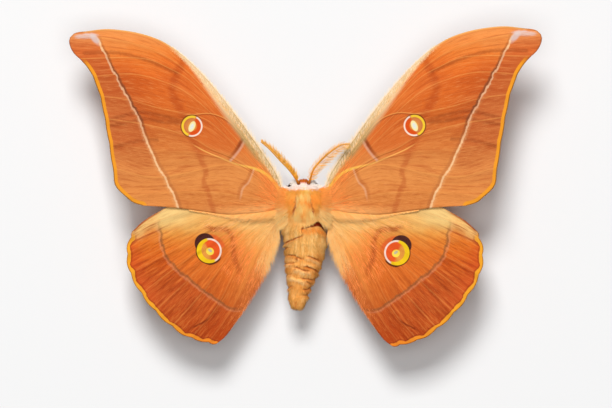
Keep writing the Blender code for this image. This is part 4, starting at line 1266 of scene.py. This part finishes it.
def body_parts():
    """The plain forms of thorax, abdomen, head and mouthparts, each as a closed mesh."""
    rings = []
    for y in np.linspace(-6.4, 5.6, 50):
        half_width, half_height, z = station(THORAX, np.array([max(y, -5.2)]))[:, 0]
        inner = THORAX_COAT + 0.35 * rise(y, 4.0, 5.6)
        rings.append(body_ring(y, half_width - inner, half_height - inner, 0, z, thorax_relief(y)))
    pieces = [round_mesh(rings)]
    rings = []
    for y in np.linspace(-4.4, -31.1, 170):
        x, half_width, half_height, z = station(ABDOMEN, np.array([min(y, -5.5)]))[:, 0]
        plain = body_ring(y, half_width, half_height, x, z)
        slant = SEGMENT_SLANT * min(1.0, max(0.0, (-5.5 - y) / 4))
        wave = segment_wave(plain[:, 0], y, plain[:, 2])
        back = rise(np.sin(np.arange(RING_SIDES) * 2 * math.pi / RING_SIDES), 0.0, 0.5)
        out = np.array([segment_step(y + w) for w in wave]) * (1 - 0.75 * back) - ABDOMEN_COAT
        out += 0.4 * rise(-y, 25.5, 29.5)
        ring = body_ring(y, np.maximum(half_width + out, 0.4), np.maximum(half_height + out, 0.4), x, z)
        ring[:, 1] -= slant * (ring[:, 0] - x)
        rings.append(ring)
    pieces.append(round_mesh(rings))
    half = np.array(HEAD_HALF) - 0.35
    for centre, size in (
        ((0, HEAD_Y, HEAD_Z), half),
        ((0, HEAD_Y + 1.7, HEAD_Z + 1.9), (0.7, 1.1, 0.7)),
        ((0.8, HEAD_Y + 2.0, HEAD_Z - 1.9), (0.45, 0.75, 0.55)),
        ((-0.8, HEAD_Y + 2.0, HEAD_Z - 1.9), (0.45, 0.75, 0.55)),
    ):
        pieces.append(round_mesh(ball_rings(centre, size)))
    return pieces


def make_skin(look):
    """One closed skin over thorax, abdomen and head."""
    points, quads, triangles, shift = [], [], [], 0
    for p, q, t in body_parts():
        points.append(p)
        quads.append(np.asarray(q) + shift)
        triangles.append(np.asarray(t) + shift)
        shift += len(p)
    mesh = mesh_from("skin_parts", np.vstack(points), np.vstack(quads), np.vstack(triangles))
    shape = bmesh.new()
    shape.from_mesh(mesh)
    bmesh.ops.recalc_face_normals(shape, faces=shape.faces)
    shape.to_mesh(mesh)
    shape.free()
    source = new_object("skin_parts", mesh)
    remesh = source.modifiers.new("one_skin", "REMESH")
    remesh.mode = "VOXEL"
    remesh.voxel_size = 0.22 * MM
    smooth = source.modifiers.new("soften", "SMOOTH")
    smooth.iterations = 3
    graph = bpy.context.evaluated_depsgraph_get()
    skin = bpy.data.meshes.new_from_object(source.evaluated_get(graph))
    bpy.data.objects.remove(source)
    skin.name = "body_skin"
    skin.shade_smooth()
    place, normal = vertices_of(skin)
    depth = 0.8 * cleft(place, 0.9) + 0.5 * drawn(place, WRINKLES) - 0.25 * drawn(place, RIDGES, 1.2)
    sunk = place - normal * depth[:, None]
    skin.vertices.foreach_set("co", (sunk * MM).astype(np.float32).ravel())
    skin.update()
    # The skin is painted in the coat's colour, darkened by the painted root shade, as the shade under the coat
    set_tint(skin, within_paint(body_colour(place, normal) * FUR_GAIN * ROOT_SHADE))
    set_uv(skin, body_uv(place))
    add_object("body_skin", skin, look, ["thorax", "abdomen", "head"])
    return skin


def vertices_of(mesh):
    place = np.zeros(len(mesh.vertices) * 3, np.float32)
    normal = np.zeros(len(mesh.vertices) * 3, np.float32)
    mesh.vertices.foreach_get("co", place)
    mesh.vertices.foreach_get("normal", normal)
    return place.reshape(-1, 3).astype(float) / MM, normal.reshape(-1, 3).astype(float)


def body_uv(place):
    """The body unrolled about its long axis."""
    x, y, z = place.T
    turn = np.arctan2(x, -(z - BODY_Z)) / (2 * math.pi) + 0.5
    return np.column_stack([np.clip(turn, 0.0, 0.995), np.clip((y + 33) / 42, 0.0, 0.995)])


def collar_line(x):
    """How far forward the coloured back reaches, before the pale collar."""
    return 5.05 - 0.022 * x**2


def cleft(place, wide=0.75):
    """The bare gap between thorax and abdomen, on the right of the back."""
    far, _, share = line_distance(place[:, :2], spline(CLEFT_LINE, 40))
    taper = 0.35 + 0.95 * hill(share - 0.62, 0.5)
    return hill(far, wide * taper) * rise(place[:, 2] - BODY_Z, -1.6, -0.2)


def drawn(place, lines, reach=1.0):
    """How far each place on the back is on one of the drawn lines, which fade at their ends."""
    x, y, z = place.T
    wander = 0.4 * (soft_noise(x / 1.2 + 2, y / 1.1 + 5) - 0.5)
    flat = np.column_stack([x, y + wander])
    most = np.zeros(len(place))
    for width, depth, line in lines:
        far, _, share = line_distance(flat, spline(line, 16))
        ends = np.minimum(1, 4 * np.minimum(share, 1 - share))
        most = np.maximum(most, depth * hill(far, width * reach) * ends)
    return most * rise(z - BODY_Z, -2.0, 0.0)


def segment_share(place):
    """How far along its ring of the abdomen each place is, from front edge to rear edge."""
    x, y, z = place.T
    bend = station(ABDOMEN, np.clip(y, -31.6, -5.5))[0]
    level = y + SEGMENT_SLANT * (x - bend) * rise(-y, 5.5, 9.5)
    level = level + segment_wave(x, level, z)
    ends = np.array((ABDOMEN_FRONT, *SEGMENT_ENDS, ABDOMEN_REAR))
    index = np.clip(np.searchsorted(-ends, -level) - 1, 0, len(ends) - 2)
    return np.clip((ends[index] - level) / (ends[index] - ends[index + 1]), 0, 1)


def body_colour(place, normal):
    """The colour of coat and skin at places on the body."""
    x, y, z = place.T
    high = z - BODY_Z
    patchy = soft_noise(x / 1.7 + 9, y / 1.5 + z / 2)
    fine = soft_noise(x / 0.5, y / 0.7 + 30 + z / 0.8)

    back = pick(
        ((232, 128, 44), (250, 176, 88), (255, 206, 120), (255, 226, 154)),
        rise(patchy, 0.1, 0.9) * 0.55 + rise(fine, 0.15, 0.85) * 0.5,
    )
    shoulder = rise(np.abs(x), 1.5 + 0.16 * (4 - y), 2.2 + 0.16 * (4 - y)) * rise(y, -3.2, -1.2)
    back = cover(back, pick(((250, 144, 50), (255, 178, 84)), patchy), shoulder)
    seam = hill(np.abs(x) - (1.9 + 0.17 * (3.4 - y)), 0.5) * rise(y, -2.6, -1.2) * rise(4.0 - y, 0.0, 1.2)
    back = cover(back, linear(140, 54, 10), seam * (0.6 + 0.4 * rise(patchy, 0.35, 0.65)))
    back = cover(back, pick(((244, 164, 80), (255, 220, 140)), patchy * 0.6 + fine * 0.4), rise(-y, 2.0, 4.2))
    ahead = y - collar_line(x)
    bright = hill(ahead + 0.6, 0.8) * (0.35 + 0.65 * hill(x, 2.4))
    back = cover(back, linear(255, 194, 88), 0.8 * bright)
    collar = rise(ahead, -0.25, 0.25) * rise(high, -3.5, -0.9)
    back = cover(back, pick(((222, 200, 196), (246, 236, 230)), patchy), collar)

    share = segment_share(place)
    striped = soft_noise(x / 0.42 + 3, y / 3.2 + z / 3)
    front = rise(y, -16.0, -13.5)
    back_up = rise(normal[:, 2], 0.15, 0.55)
    mottle = fine * (1 - front) + striped * front
    level = 0.55 * share * (1 - back_up) + 0.28 * back_up + 0.6 * mottle - 0.08
    folds = soft_noise(x / 2.4 + 7, (y + 0.12 * x) / 0.55) - 0.5
    level = level + 0.45 * folds * rise(-y, 13.0, 15.5) * back_up
    straw = pick(((184, 116, 48), (208, 146, 72), (226, 170, 96), (250, 208, 140)), level)
    straw = straw * (1 + front[:, None] * np.array((-0.05, 0.12, 0.34)))
    straw = cover(straw, linear(214, 156, 80), 0.5 * rise(-y, 24.0, 30.0))
    # Painted highlight along the pale ridges
    straw = cover(straw, linear(252, 212, 148), 0.85 * drawn(place, RIDGES, 1.3))
    # Painted shade where each ring tucks under the one before it, and in the wrinkles
    dark = hill(share - 0.02, 0.16) * (0.2 + 0.65 * patchy) * (1 - 0.85 * back_up)
    dark = np.maximum(dark, 0.95 * drawn(place, WRINKLES, 1.25))
    straw = cover(straw, linear(142, 62, 16), dark)

    colour = cover(back, straw, rise(-y, 5.0, 6.2))
    colour = cover(colour, pick(((204, 112, 28), (228, 142, 52)), fine), drawn(place, CLEFT_GLOW))
    # Painted shade along the cleft's left end
    colour = cover(colour, linear(142, 58, 10), drawn(place, CLEFT_END_SHADE))
    below = pick(((178, 112, 78), (208, 146, 106)), patchy)
    colour = cover(below, colour, rise(normal[:, 2], -0.5, 0.35))

    brow = rise(y, 6.2, 6.6) * rise(np.abs(x), 2.4, 1.7)
    face = np.maximum(rise(y, 5.6, 6.4) * rise(normal[:, 2], 0.45, 0.05), brow)
    colour = cover(colour, pick(((150, 72, 20), (206, 112, 38)), patchy), face)
    base = np.hypot(np.abs(x) - ANTENNA_ROOT[0], y - 7.0)
    colour = cover(colour, linear(92, 40, 16), 0.8 * hill(base, 1.0) * rise(high, -0.5, 0.6))
    # The cleft itself is painted dark, as the shade in the gap
    return cover(colour, linear(112, 34, 8), np.clip(1.6 * cleft(place, 0.9), 0, 1))


def lie(place, normal):
    """Which way the coat lies at places on the body."""
    x, y, z = place.T
    n = len(place)
    way = np.column_stack([0.10 * x, np.full(n, -1.0), np.full(n, -0.1)])
    shoulder = rise(np.abs(x), 2.0, 3.4) * rise(y, -3.0, 0.0)
    way[:, 0] += shoulder * (np.sign(x) * 0.35)
    forward = np.column_stack([0.16 * x, np.full(n, 1.0), np.full(n, 0.15)])
    way = cover(way, forward, rise(y - collar_line(x), -0.3, 0.4))
    face = rise(y, 5.8, 6.6) * rise(0.8 - (z - BODY_Z), 0.0, 1.0)
    way = cover(way, np.array((0.0, 0.5, -1.0)), face)
    return unit(way - normal * np.sum(way * normal, 1, keepdims=True))


def sample_surface(mesh, count, weight):
    """Random places on a mesh, with normals, spread by area times a weight of the place."""
    place, normal = vertices_of(mesh)
    mesh.calc_loop_triangles()
    corners = np.zeros(len(mesh.loop_triangles) * 3, np.int32)
    mesh.loop_triangles.foreach_get("vertices", corners)
    corners = corners.reshape(-1, 3)
    a, b, c = place[corners[:, 0]], place[corners[:, 1]], place[corners[:, 2]]
    area = np.linalg.norm(np.cross(b - a, c - a), axis=1)
    chance = area * weight((a + b + c) / 3)
    chosen = RNG.choice(len(corners), count, p=chance / chance.sum())
    s, t = RNG.random((2, count, 1))
    over = (s + t) > 1
    s, t = np.where(over, 1 - s, s), np.where(over, 1 - t, t)
    na, nb, nc = normal[corners[chosen, 0]], normal[corners[chosen, 1]], normal[corners[chosen, 2]]
    spot = a[chosen] + s * (b[chosen] - a[chosen]) + t * (c[chosen] - a[chosen])
    return spot, unit(na + s * (nb - na) + t * (nc - na))


def grow(name, spot, normal, length, radius, lift, look, scatter=0.12, fall=0.35, tint=None):
    """Hairs on the body, lying along its coat and settling back on it."""
    n = len(spot)
    length = length * (1 - 0.8 * cleft(spot + lie(spot, normal) * 0.8, 1.9))
    flat = lie(spot, normal)
    lift = np.broadcast_to(np.asarray(lift, float), (n,))[:, None]
    way = unit(flat * np.cos(lift) + normal * np.sin(lift) + jitter(n, scatter))
    tint = body_colour(spot, normal) if tint is None else tint
    strands(
        name, spot - normal * 0.05, way, normal, length, radius, vary(tint, 0.15), body_uv(spot), look,
        bend=-normal * fall * np.sin(lift),
    )


def clear_of_rod(place):
    x, y, z = place.T
    return rise(np.hypot(x, y), 1.3, 1.8) + (z > BODY_Z)


def clear_of_eye(spot, way, size):
    """True where a hair leaves the eye's outer side open to the sky."""
    clear = np.ones(len(spot), bool)
    for share in (0.35, 0.7, 1.0):
        x, y, _ = (spot + way * size[:, None] * share).T
        shown = np.where(x < 0, 1.05, 0.4)
        clear &= np.hypot((np.abs(x) - EYE_SHOWS[0]) / 0.55, (y - EYE_SHOWS[1]) / 0.38) > shown
    return clear


def make_coat(skin, fur):
    """The body's hair, in zones that each have their own length and lift."""

    def on_thorax(p):
        y = p[:, 1]
        zone = rise(y, -6.0, -4.6) * (y < collar_line(p[:, 0]))
        return zone * (cleft(p) < 0.2) * np.minimum(clear_of_rod(p), 1)

    spot, normal = sample_surface(skin, 10500, on_thorax)
    rear = rise(-spot[:, 1], 2.0, 4.6)
    below = rise(-normal[:, 2], -0.1, 0.5)
    size = RNG.uniform(1.5, 2.4, len(spot)) * (1 + 0.25 * rear) * (1 + 0.1 * below)
    grow("thorax_coat", spot, normal, size, 0.06, 0.3 + 0.18 * below, fur, scatter=0.16)

    def under_it(p):
        return rise(p[:, 1], -6.0, -4.6) * (p[:, 1] < collar_line(p[:, 0]) + 0.5) * (cleft(p) < 0.2)

    spot, normal = sample_surface(skin, 4800, under_it)
    size = RNG.uniform(0.9, 1.4, len(spot))
    grow("thorax_undercoat", spot, normal, size, 0.09, 0.4, fur, scatter=0.25)

    def on_abdomen(p):
        return rise(-p[:, 1], 5.6, 6.6) * (cleft(p) < 0.2)

    for k in (0, 1):
        spot, normal = sample_surface(skin, 7000, on_abdomen)
        share = segment_share(spot)
        size = RNG.uniform(0.75, 1.3, len(spot)) * (0.85 + 0.4 * share)
        size *= 1 - 0.7 * drawn(spot + lie(spot, normal) * 0.5, WRINKLES, 1.3)
        grow(
            f"abdomen_coat_{k}", spot, normal, size, 0.058, 0.14 + 0.14 * share, fur,
            scatter=0.15, fall=0.3,
        )

    def on_collar(p):
        ahead = p[:, 1] - collar_line(p[:, 0])
        parting = 1 + 1.6 * hill(ahead, 0.5)
        return rise(ahead, -0.5, 0.0) * parting * (p[:, 1] < 5.7) * rise(p[:, 2] - BODY_Z, -3.0, -0.5)

    spot, normal = sample_surface(skin, 3600, on_collar)
    tint = pick(((206, 184, 182), (238, 226, 220), (252, 246, 240)), RNG.random(len(spot)))
    # Painted shade: collar hair a tenth darker lower down on the head
    tint = tint * (0.9 + 0.1 * rise(spot[:, 2:3] - BODY_Z, -2, 1))
    size = RNG.uniform(0.55, 1.0, len(spot))
    kept = clear_of_eye(spot, lie(spot, normal), size)
    grow(
        "collar_hair", spot[kept], normal[kept], size[kept], 0.055, 0.4, fur, scatter=0.18,
        tint=tint[kept],
    )

    def over_eyes(p):
        x, y, z = p.T
        return (np.abs(x) > 1.3) * (y > 4.8) * (y < 7.2) * rise(z - BODY_Z, -1.2, 0.2) * (z - BODY_Z < 2.0)

    spot, normal = sample_surface(skin, 3800, over_eyes)
    out = np.column_stack([np.sign(spot[:, 0]), RNG.uniform(-0.2, 0.9, len(spot)), np.full(len(spot), 0.16)])
    way = unit(out - 0.5 * normal * np.sum(out * normal, 1, keepdims=True) + jitter(len(spot), 0.12))
    size = RNG.uniform(0.8, 1.9, len(spot))
    kept = clear_of_eye(spot, way, size)
    tint = pick(((238, 218, 200), (250, 240, 230), (255, 252, 248)), RNG.random(len(spot)))
    strands(
        "brow_hair", spot[kept], way[kept], unit(0.4 * normal + 2 * UP)[kept], size[kept], 0.055,
        vary(tint)[kept], body_uv(spot)[kept], fur, bend=-UP * 0.1 * np.ones((kept.sum(), 1)),
    )

    def on_head(p):
        return rise(p[:, 1], 4.6, 5.6) * (p[:, 2] - BODY_Z < 1.9) * (np.abs(p[:, 0]) < 3.2)

    spot, normal = sample_surface(skin, 3400, on_head)
    size = RNG.uniform(0.35, 0.75, len(spot))
    palp = (spot[:, 2] - BODY_Z < -2.0) & (spot[:, 1] > 7.0)
    grow("face_hair", spot, normal, size * np.where(palp, 1.25, 1.0), 0.05, 0.45, fur, scatter=0.2)

    def at_wing_roots(p):
        x, y, z = p.T
        on = rise(np.abs(x), 3.6, 5.2) * rise(y, -5.4, -3.8) * rise(4.9 - y, 0.0, 0.8)
        return on * (1 + 1.2 * rise(-y, -0.4, 1.6)) * rise(z - BODY_Z, 1.6, 2.6) * (cleft(p, 1.6) < 0.1)

    spot, normal = sample_surface(skin, 6400, at_wing_roots)
    n = len(spot)
    size = 1.3 + 3.2 * RNG.random(n) ** 1.8 + 0.9 * rise(-spot[:, 1], -0.4, 1.6)
    side = np.sign(spot[:, 0])
    slant = -0.45 + 0.16 * spot[:, 1] + RNG.normal(0, 0.25, n)
    outward = unit(np.column_stack([side, slant, np.zeros(n)]))
    tip = spot + outward * size[:, None]
    floor = BODY_Z + np.where(tip[:, 1] > -1.6, FORE["root_z"], HIND["root_z"] + HIND["front_lift"]) + 0.4
    floor = floor + 0.14 * (np.abs(tip[:, 0]) - WING_ROOT_X)
    over = rise(np.abs(tip[:, 0]), 5.6, 6.6)
    tip[:, 2] += over * (np.maximum(floor - tip[:, 2], -0.8) + RNG.uniform(0.0, 0.25, n))
    way = unit(tip - spot + jitter(n, 0.1))
    tint = pick(((248, 144, 56), (252, 158, 66), (254, 176, 84)), RNG.random(n))
    tint = cover(tint, pick(((240, 144, 66), (250, 164, 86)), RNG.random(n)), rise(size, 2.2, 3.6))
    pale = pick(((244, 180, 100), (252, 200, 122), (255, 218, 152)), RNG.random(n))
    tint = cover(tint, pale, rise(-spot[:, 1], -0.6, 1.4))
    olive = rise(RNG.random(n), 0.72, 0.84) * hill(spot[:, 1] + 2.4, 1.6)
    tint = cover(tint, linear(170, 118, 50), olive)
    strands(
        "shoulder_hair", spot - normal * 0.05, way, unit(normal + 3 * UP), size, 0.055, vary(tint), body_uv(spot),
        fur, bend=-UP * 0.02,
    )


# Feelers, legs and eyes


def head_surface(x, y):
    half = np.array(HEAD_HALF)
    flat = np.array([x, y - HEAD_Y]) / half[:2]
    spot = np.array([x, y - HEAD_Y, half[2] * math.sqrt(1 - flat @ flat)])
    out = spot / half**2
    return spot + (0, HEAD_Y, HEAD_Z + BODY_Z), out / np.linalg.norm(out)


def make_antenna(side, sign, look):
    """A feeler: its shaft with four rows of fine side branches."""
    spot, out = head_surface(sign * ANTENNA_ROOT[0], ANTENNA_ROOT[1])
    plan = ANTENNA_PLAN[side]
    share = np.arange(1, len(plan) + 1) / len(plan)
    heights = spot[2] + ANTENNA_NECK * out[2] + ANTENNA_RISE * share**0.8
    rest = [(x, y, z) for (x, y), z in zip(plan, heights)]
    line = spline((spot - 0.4 * out, spot + ANTENNA_NECK * out, *rest), SHAFT_STEPS)
    t = np.linspace(0, 1, SHAFT_STEPS + 1)
    radii = 0.32 - 0.2 * t + 0.22 * hill(t - 0.02, 0.09)
    radii *= 1 + 0.06 * np.sin(t * 2 * math.pi * COMB_STEPS)
    tone = pick(((118, 56, 20), (206, 122, 34), (222, 144, 46), (212, 154, 62)), np.clip(t * 3, 0, 1))
    make_shaft("feeler_shaft_" + side, line, radii, 8, tone, 0.4, look, "antenna_" + side)

    steps = np.repeat(np.linspace(0.10, 0.985, COMB_STEPS), 4)
    at = np.round(steps * SHAFT_STEPS).astype(int)
    along = unit(line[np.minimum(at + 1, SHAFT_STEPS)] - line[at - 1])
    outer = unit(np.cross(along, (0.0, 0.0, float(sign))))
    upper = np.cross(outer, along) * sign
    row = np.tile(np.arange(4), COMB_STEPS)
    first, second = COMB_ANGLES[side]
    degrees = np.choose(row, [first, first + 26, second, second - 26]) + RNG.normal(0, 4, len(row))
    outer_length, inner_length = COMB_LENGTHS[side]
    longest = np.choose(row, [outer_length, outer_length * 0.9, inner_length, inner_length * 0.9])
    angle = np.radians(degrees)[:, None]
    across = np.cos(angle) * outer + np.sin(angle) * upper
    fullness = 0.3 + 0.86 * np.sin(math.pi * (0.14 + 0.82 * steps)) ** 0.8
    clump = 0.5 + 0.5 * np.cos(np.arange(len(row)) // 4 * 2 * math.pi / 3.0)
    size = longest * fullness * (1.08 - COMB_CLUMPS[side] * (1 - clump)) * RNG.uniform(0.93, 1.07, len(row))
    way = unit(across + along * 0.32)
    bend = along * 0.42 - across * 0.12
    tint = pick(((184, 128, 34), (210, 152, 46), (230, 172, 68)), RNG.random(len(row)))
    uv = np.column_stack([0.5 + 0.1 * row, steps * 0.97])
    strands(
        "feeler_comb_" + side, line[at], way, UP + 0 * way, size, 0.115, vary(tint, 0.08), uv, look,
        bend=bend,
    )
    hairs = np.repeat(np.arange(len(row)), 4)
    t = RNG.uniform(0.15, 0.98, len(hairs))[:, None]
    base = line[at][hairs] + size[hairs, None] * (way[hairs] * t + bend[hairs] * t * t)
    direction = unit(along[hairs] * 0.8 + jitter(len(hairs), 0.5))
    strands(
        "feeler_down_" + side, base, direction, UP + 0 * direction, RNG.uniform(0.2, 0.4, len(hairs)), 0.025,
        vary(tint[hairs] * 1.15, 0.08), uv[hairs], look,
    )


def thorax_under(x, y):
    half_width, half_height, z = station(THORAX, np.array([y]))[:, 0]
    return z - half_height * math.sqrt(1 - (x / half_width) ** 2)


def make_leg(place, side, sign, look):
    """A leg with its hair."""
    x, y = LEG_ROOTS[place]
    top = thorax_under(x, y)
    points = [(x, y, top + 0.9), (x + 0.2, y, top - 0.9), *LEGS[place]]
    line = spline([(sign * px, py, pz + BODY_Z) for px, py, pz in points], LEG_STEPS)
    t = np.linspace(0, 1, LEG_STEPS + 1)
    radii = np.interp(t, (0, 0.25, 0.5, 0.62, 0.66, 0.95, 1.0), (0.42, 0.5, 0.44, 0.3, 0.26, 0.14, 0.05))
    tone = pick(((176, 104, 66), (150, 78, 42), (110, 54, 28), (84, 40, 22)), t)
    name = f"leg_{place}_{side}"
    make_shaft("limb_" + name, line, radii, 10, tone, 0.98, look, name)
    n = 700
    share = RNG.random(n) ** 1.2 * 0.97
    at = np.clip((share * LEG_STEPS).astype(int), 1, LEG_STEPS - 1)
    along = unit(line[at + 1] - line[at - 1])
    spin = RNG.uniform(0, 2 * math.pi, n)[:, None]
    across = unit(np.cross(along, UP))
    out = np.cos(spin) * across + np.sin(spin) * np.cross(across, along)
    spot = line[at] + out * radii[at, None] * 0.9
    way = unit(along + out * 0.4 + jitter(n, 0.12))
    size = np.interp(share, (0, 0.3, 0.6, 1.0), (0.8, 0.75, 0.5, 0.22)) * RNG.uniform(0.7, 1.2, n)
    tint = pick(((190, 118, 78), (168, 92, 50), (130, 66, 34), (104, 52, 28)), share)
    uv = np.column_stack([spin[:, 0] / 6.4, share * 0.97])
    strands("hair_" + name, spot, way, out, size, 0.034, vary(tint), uv, look)


def make_eye(side, sign, look):
    """A compound eye, set in the side of the head."""
    shape = bmesh.new()
    bmesh.ops.create_uvsphere(shape, u_segments=48, v_segments=28, radius=1.0)
    for vertex in shape.verts:
        vertex.co = Vector((
            (sign * EYE_AT[0] + vertex.co.x * (EYE_HALF[0] - 0.08)) * MM,
            (EYE_AT[1] + vertex.co.y * (EYE_HALF[1] - 0.05)) * MM,
            (EYE_AT[2] + BODY_Z + vertex.co.z * (EYE_HALF[2] - 0.08)) * MM,
        ))
    mesh = bpy.data.meshes.new("eye")
    shape.to_mesh(mesh)
    shape.free()
    mesh.shade_smooth()
    add_object("ball_eye_" + side, mesh, look, ["eye_" + side])


# Stage


def make_stage():
    """A plain pale floor, a camera straight above and soft light from the far side."""
    shape = bmesh.new()
    bmesh.ops.create_grid(shape, x_segments=1, y_segments=1, size=3.0)
    mesh = bpy.data.meshes.new("floor")
    shape.to_mesh(mesh)
    shape.free()
    mesh.materials.append(floor_look())
    new_object("floor", mesh)

    camera_data = bpy.data.cameras.new("camera")
    camera_data.sensor_width = SENSOR
    camera_data.lens = LENS
    camera_data.clip_end = 20.0
    far = PHOTO_PIXELS * MM_PER_PIXEL * LENS / SENSOR
    camera = new_object("camera", camera_data)
    camera.location = Vector(LOOKED_AT) * MM + Vector((0, 0, far * MM))
    bpy.context.scene.camera = camera

    for name, place, power, size in (
        ("key", (-0.24, 1.5, 2.4), 71.0, 0.95),
        ("top", (0.0, -0.1, 2.9), 35.0, 1.5),
    ):
        light = bpy.data.lights.new(name, "AREA")
        light.energy = power
        light.size = size
        lamp = new_object(name, light)
        lamp.location = place
        lamp.rotation_euler = (Vector((0, 0, 0.015)) - Vector(place)).to_track_quat("-Z", "Y").to_euler()
    world = bpy.data.worlds.new("soft_room")
    world.use_nodes = True
    back = world.node_tree.nodes["Background"]
    back.inputs["Color"].default_value = (1.0, 1.0, 1.0, 1.0)
    back.inputs["Strength"].default_value = 0.1
    bpy.context.scene.world = world
    bpy.context.scene.view_settings.view_transform = "Standard"


def main():
    for obj in list(bpy.data.objects):
        bpy.data.objects.remove(obj)
    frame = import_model()

    fore, hind, fur = fore_look(), hind_look(), fur_look()
    fore_lines = {
        "outer": FORE_OUTER_LINE, "middle": FORE_MIDDLE_LINE, "upper_bar": FORE_UPPER_BAR,
        "lower_bar": FORE_LOWER_BAR, "stem": FORE_STEM, "cell": FORE_CELL_VEIN, "costa": FORE["costa"],
        "rear": FORE["dorsum"],
    }
    for k, line in enumerate(FORE_CREASE_SHADES):
        fore_lines[f"crease_{k}"] = line
    hind_lines = {
        "outer": HIND_OUTER_LINE, "inner": HIND_INNER_LINE, "fold": HIND_FOLD_SHADE, "costa": HIND["costa"],
        "rear": HIND["dorsum"],
    }
    grids = {}
    for side in SIDES:
        grids["fore", side] = make_wing("sheet_forewing_" + side, FORE, side, fore_lines, fore)
        grids["hind", side] = make_wing("sheet_hindwing_" + side, HIND, side, hind_lines, hind)
    wing_hair(grids, fur)

    skin = make_skin(fur)
    make_coat(skin, fur)
    eye = eye_look()
    for side, sign in SIDES.items():
        make_antenna(side, sign, fur)
        make_eye(side, sign, eye)
        for place in LEGS:
            make_leg(place, side, sign, fur)

    for name, look, slot in (("stand_base", stand_look(), "stand"), ("stand_rod", rod_look(), "rod")):
        node = frame["nodes"][name]
        node.data.materials.clear()
        node.data.materials.append(look)
    make_stage()


main()
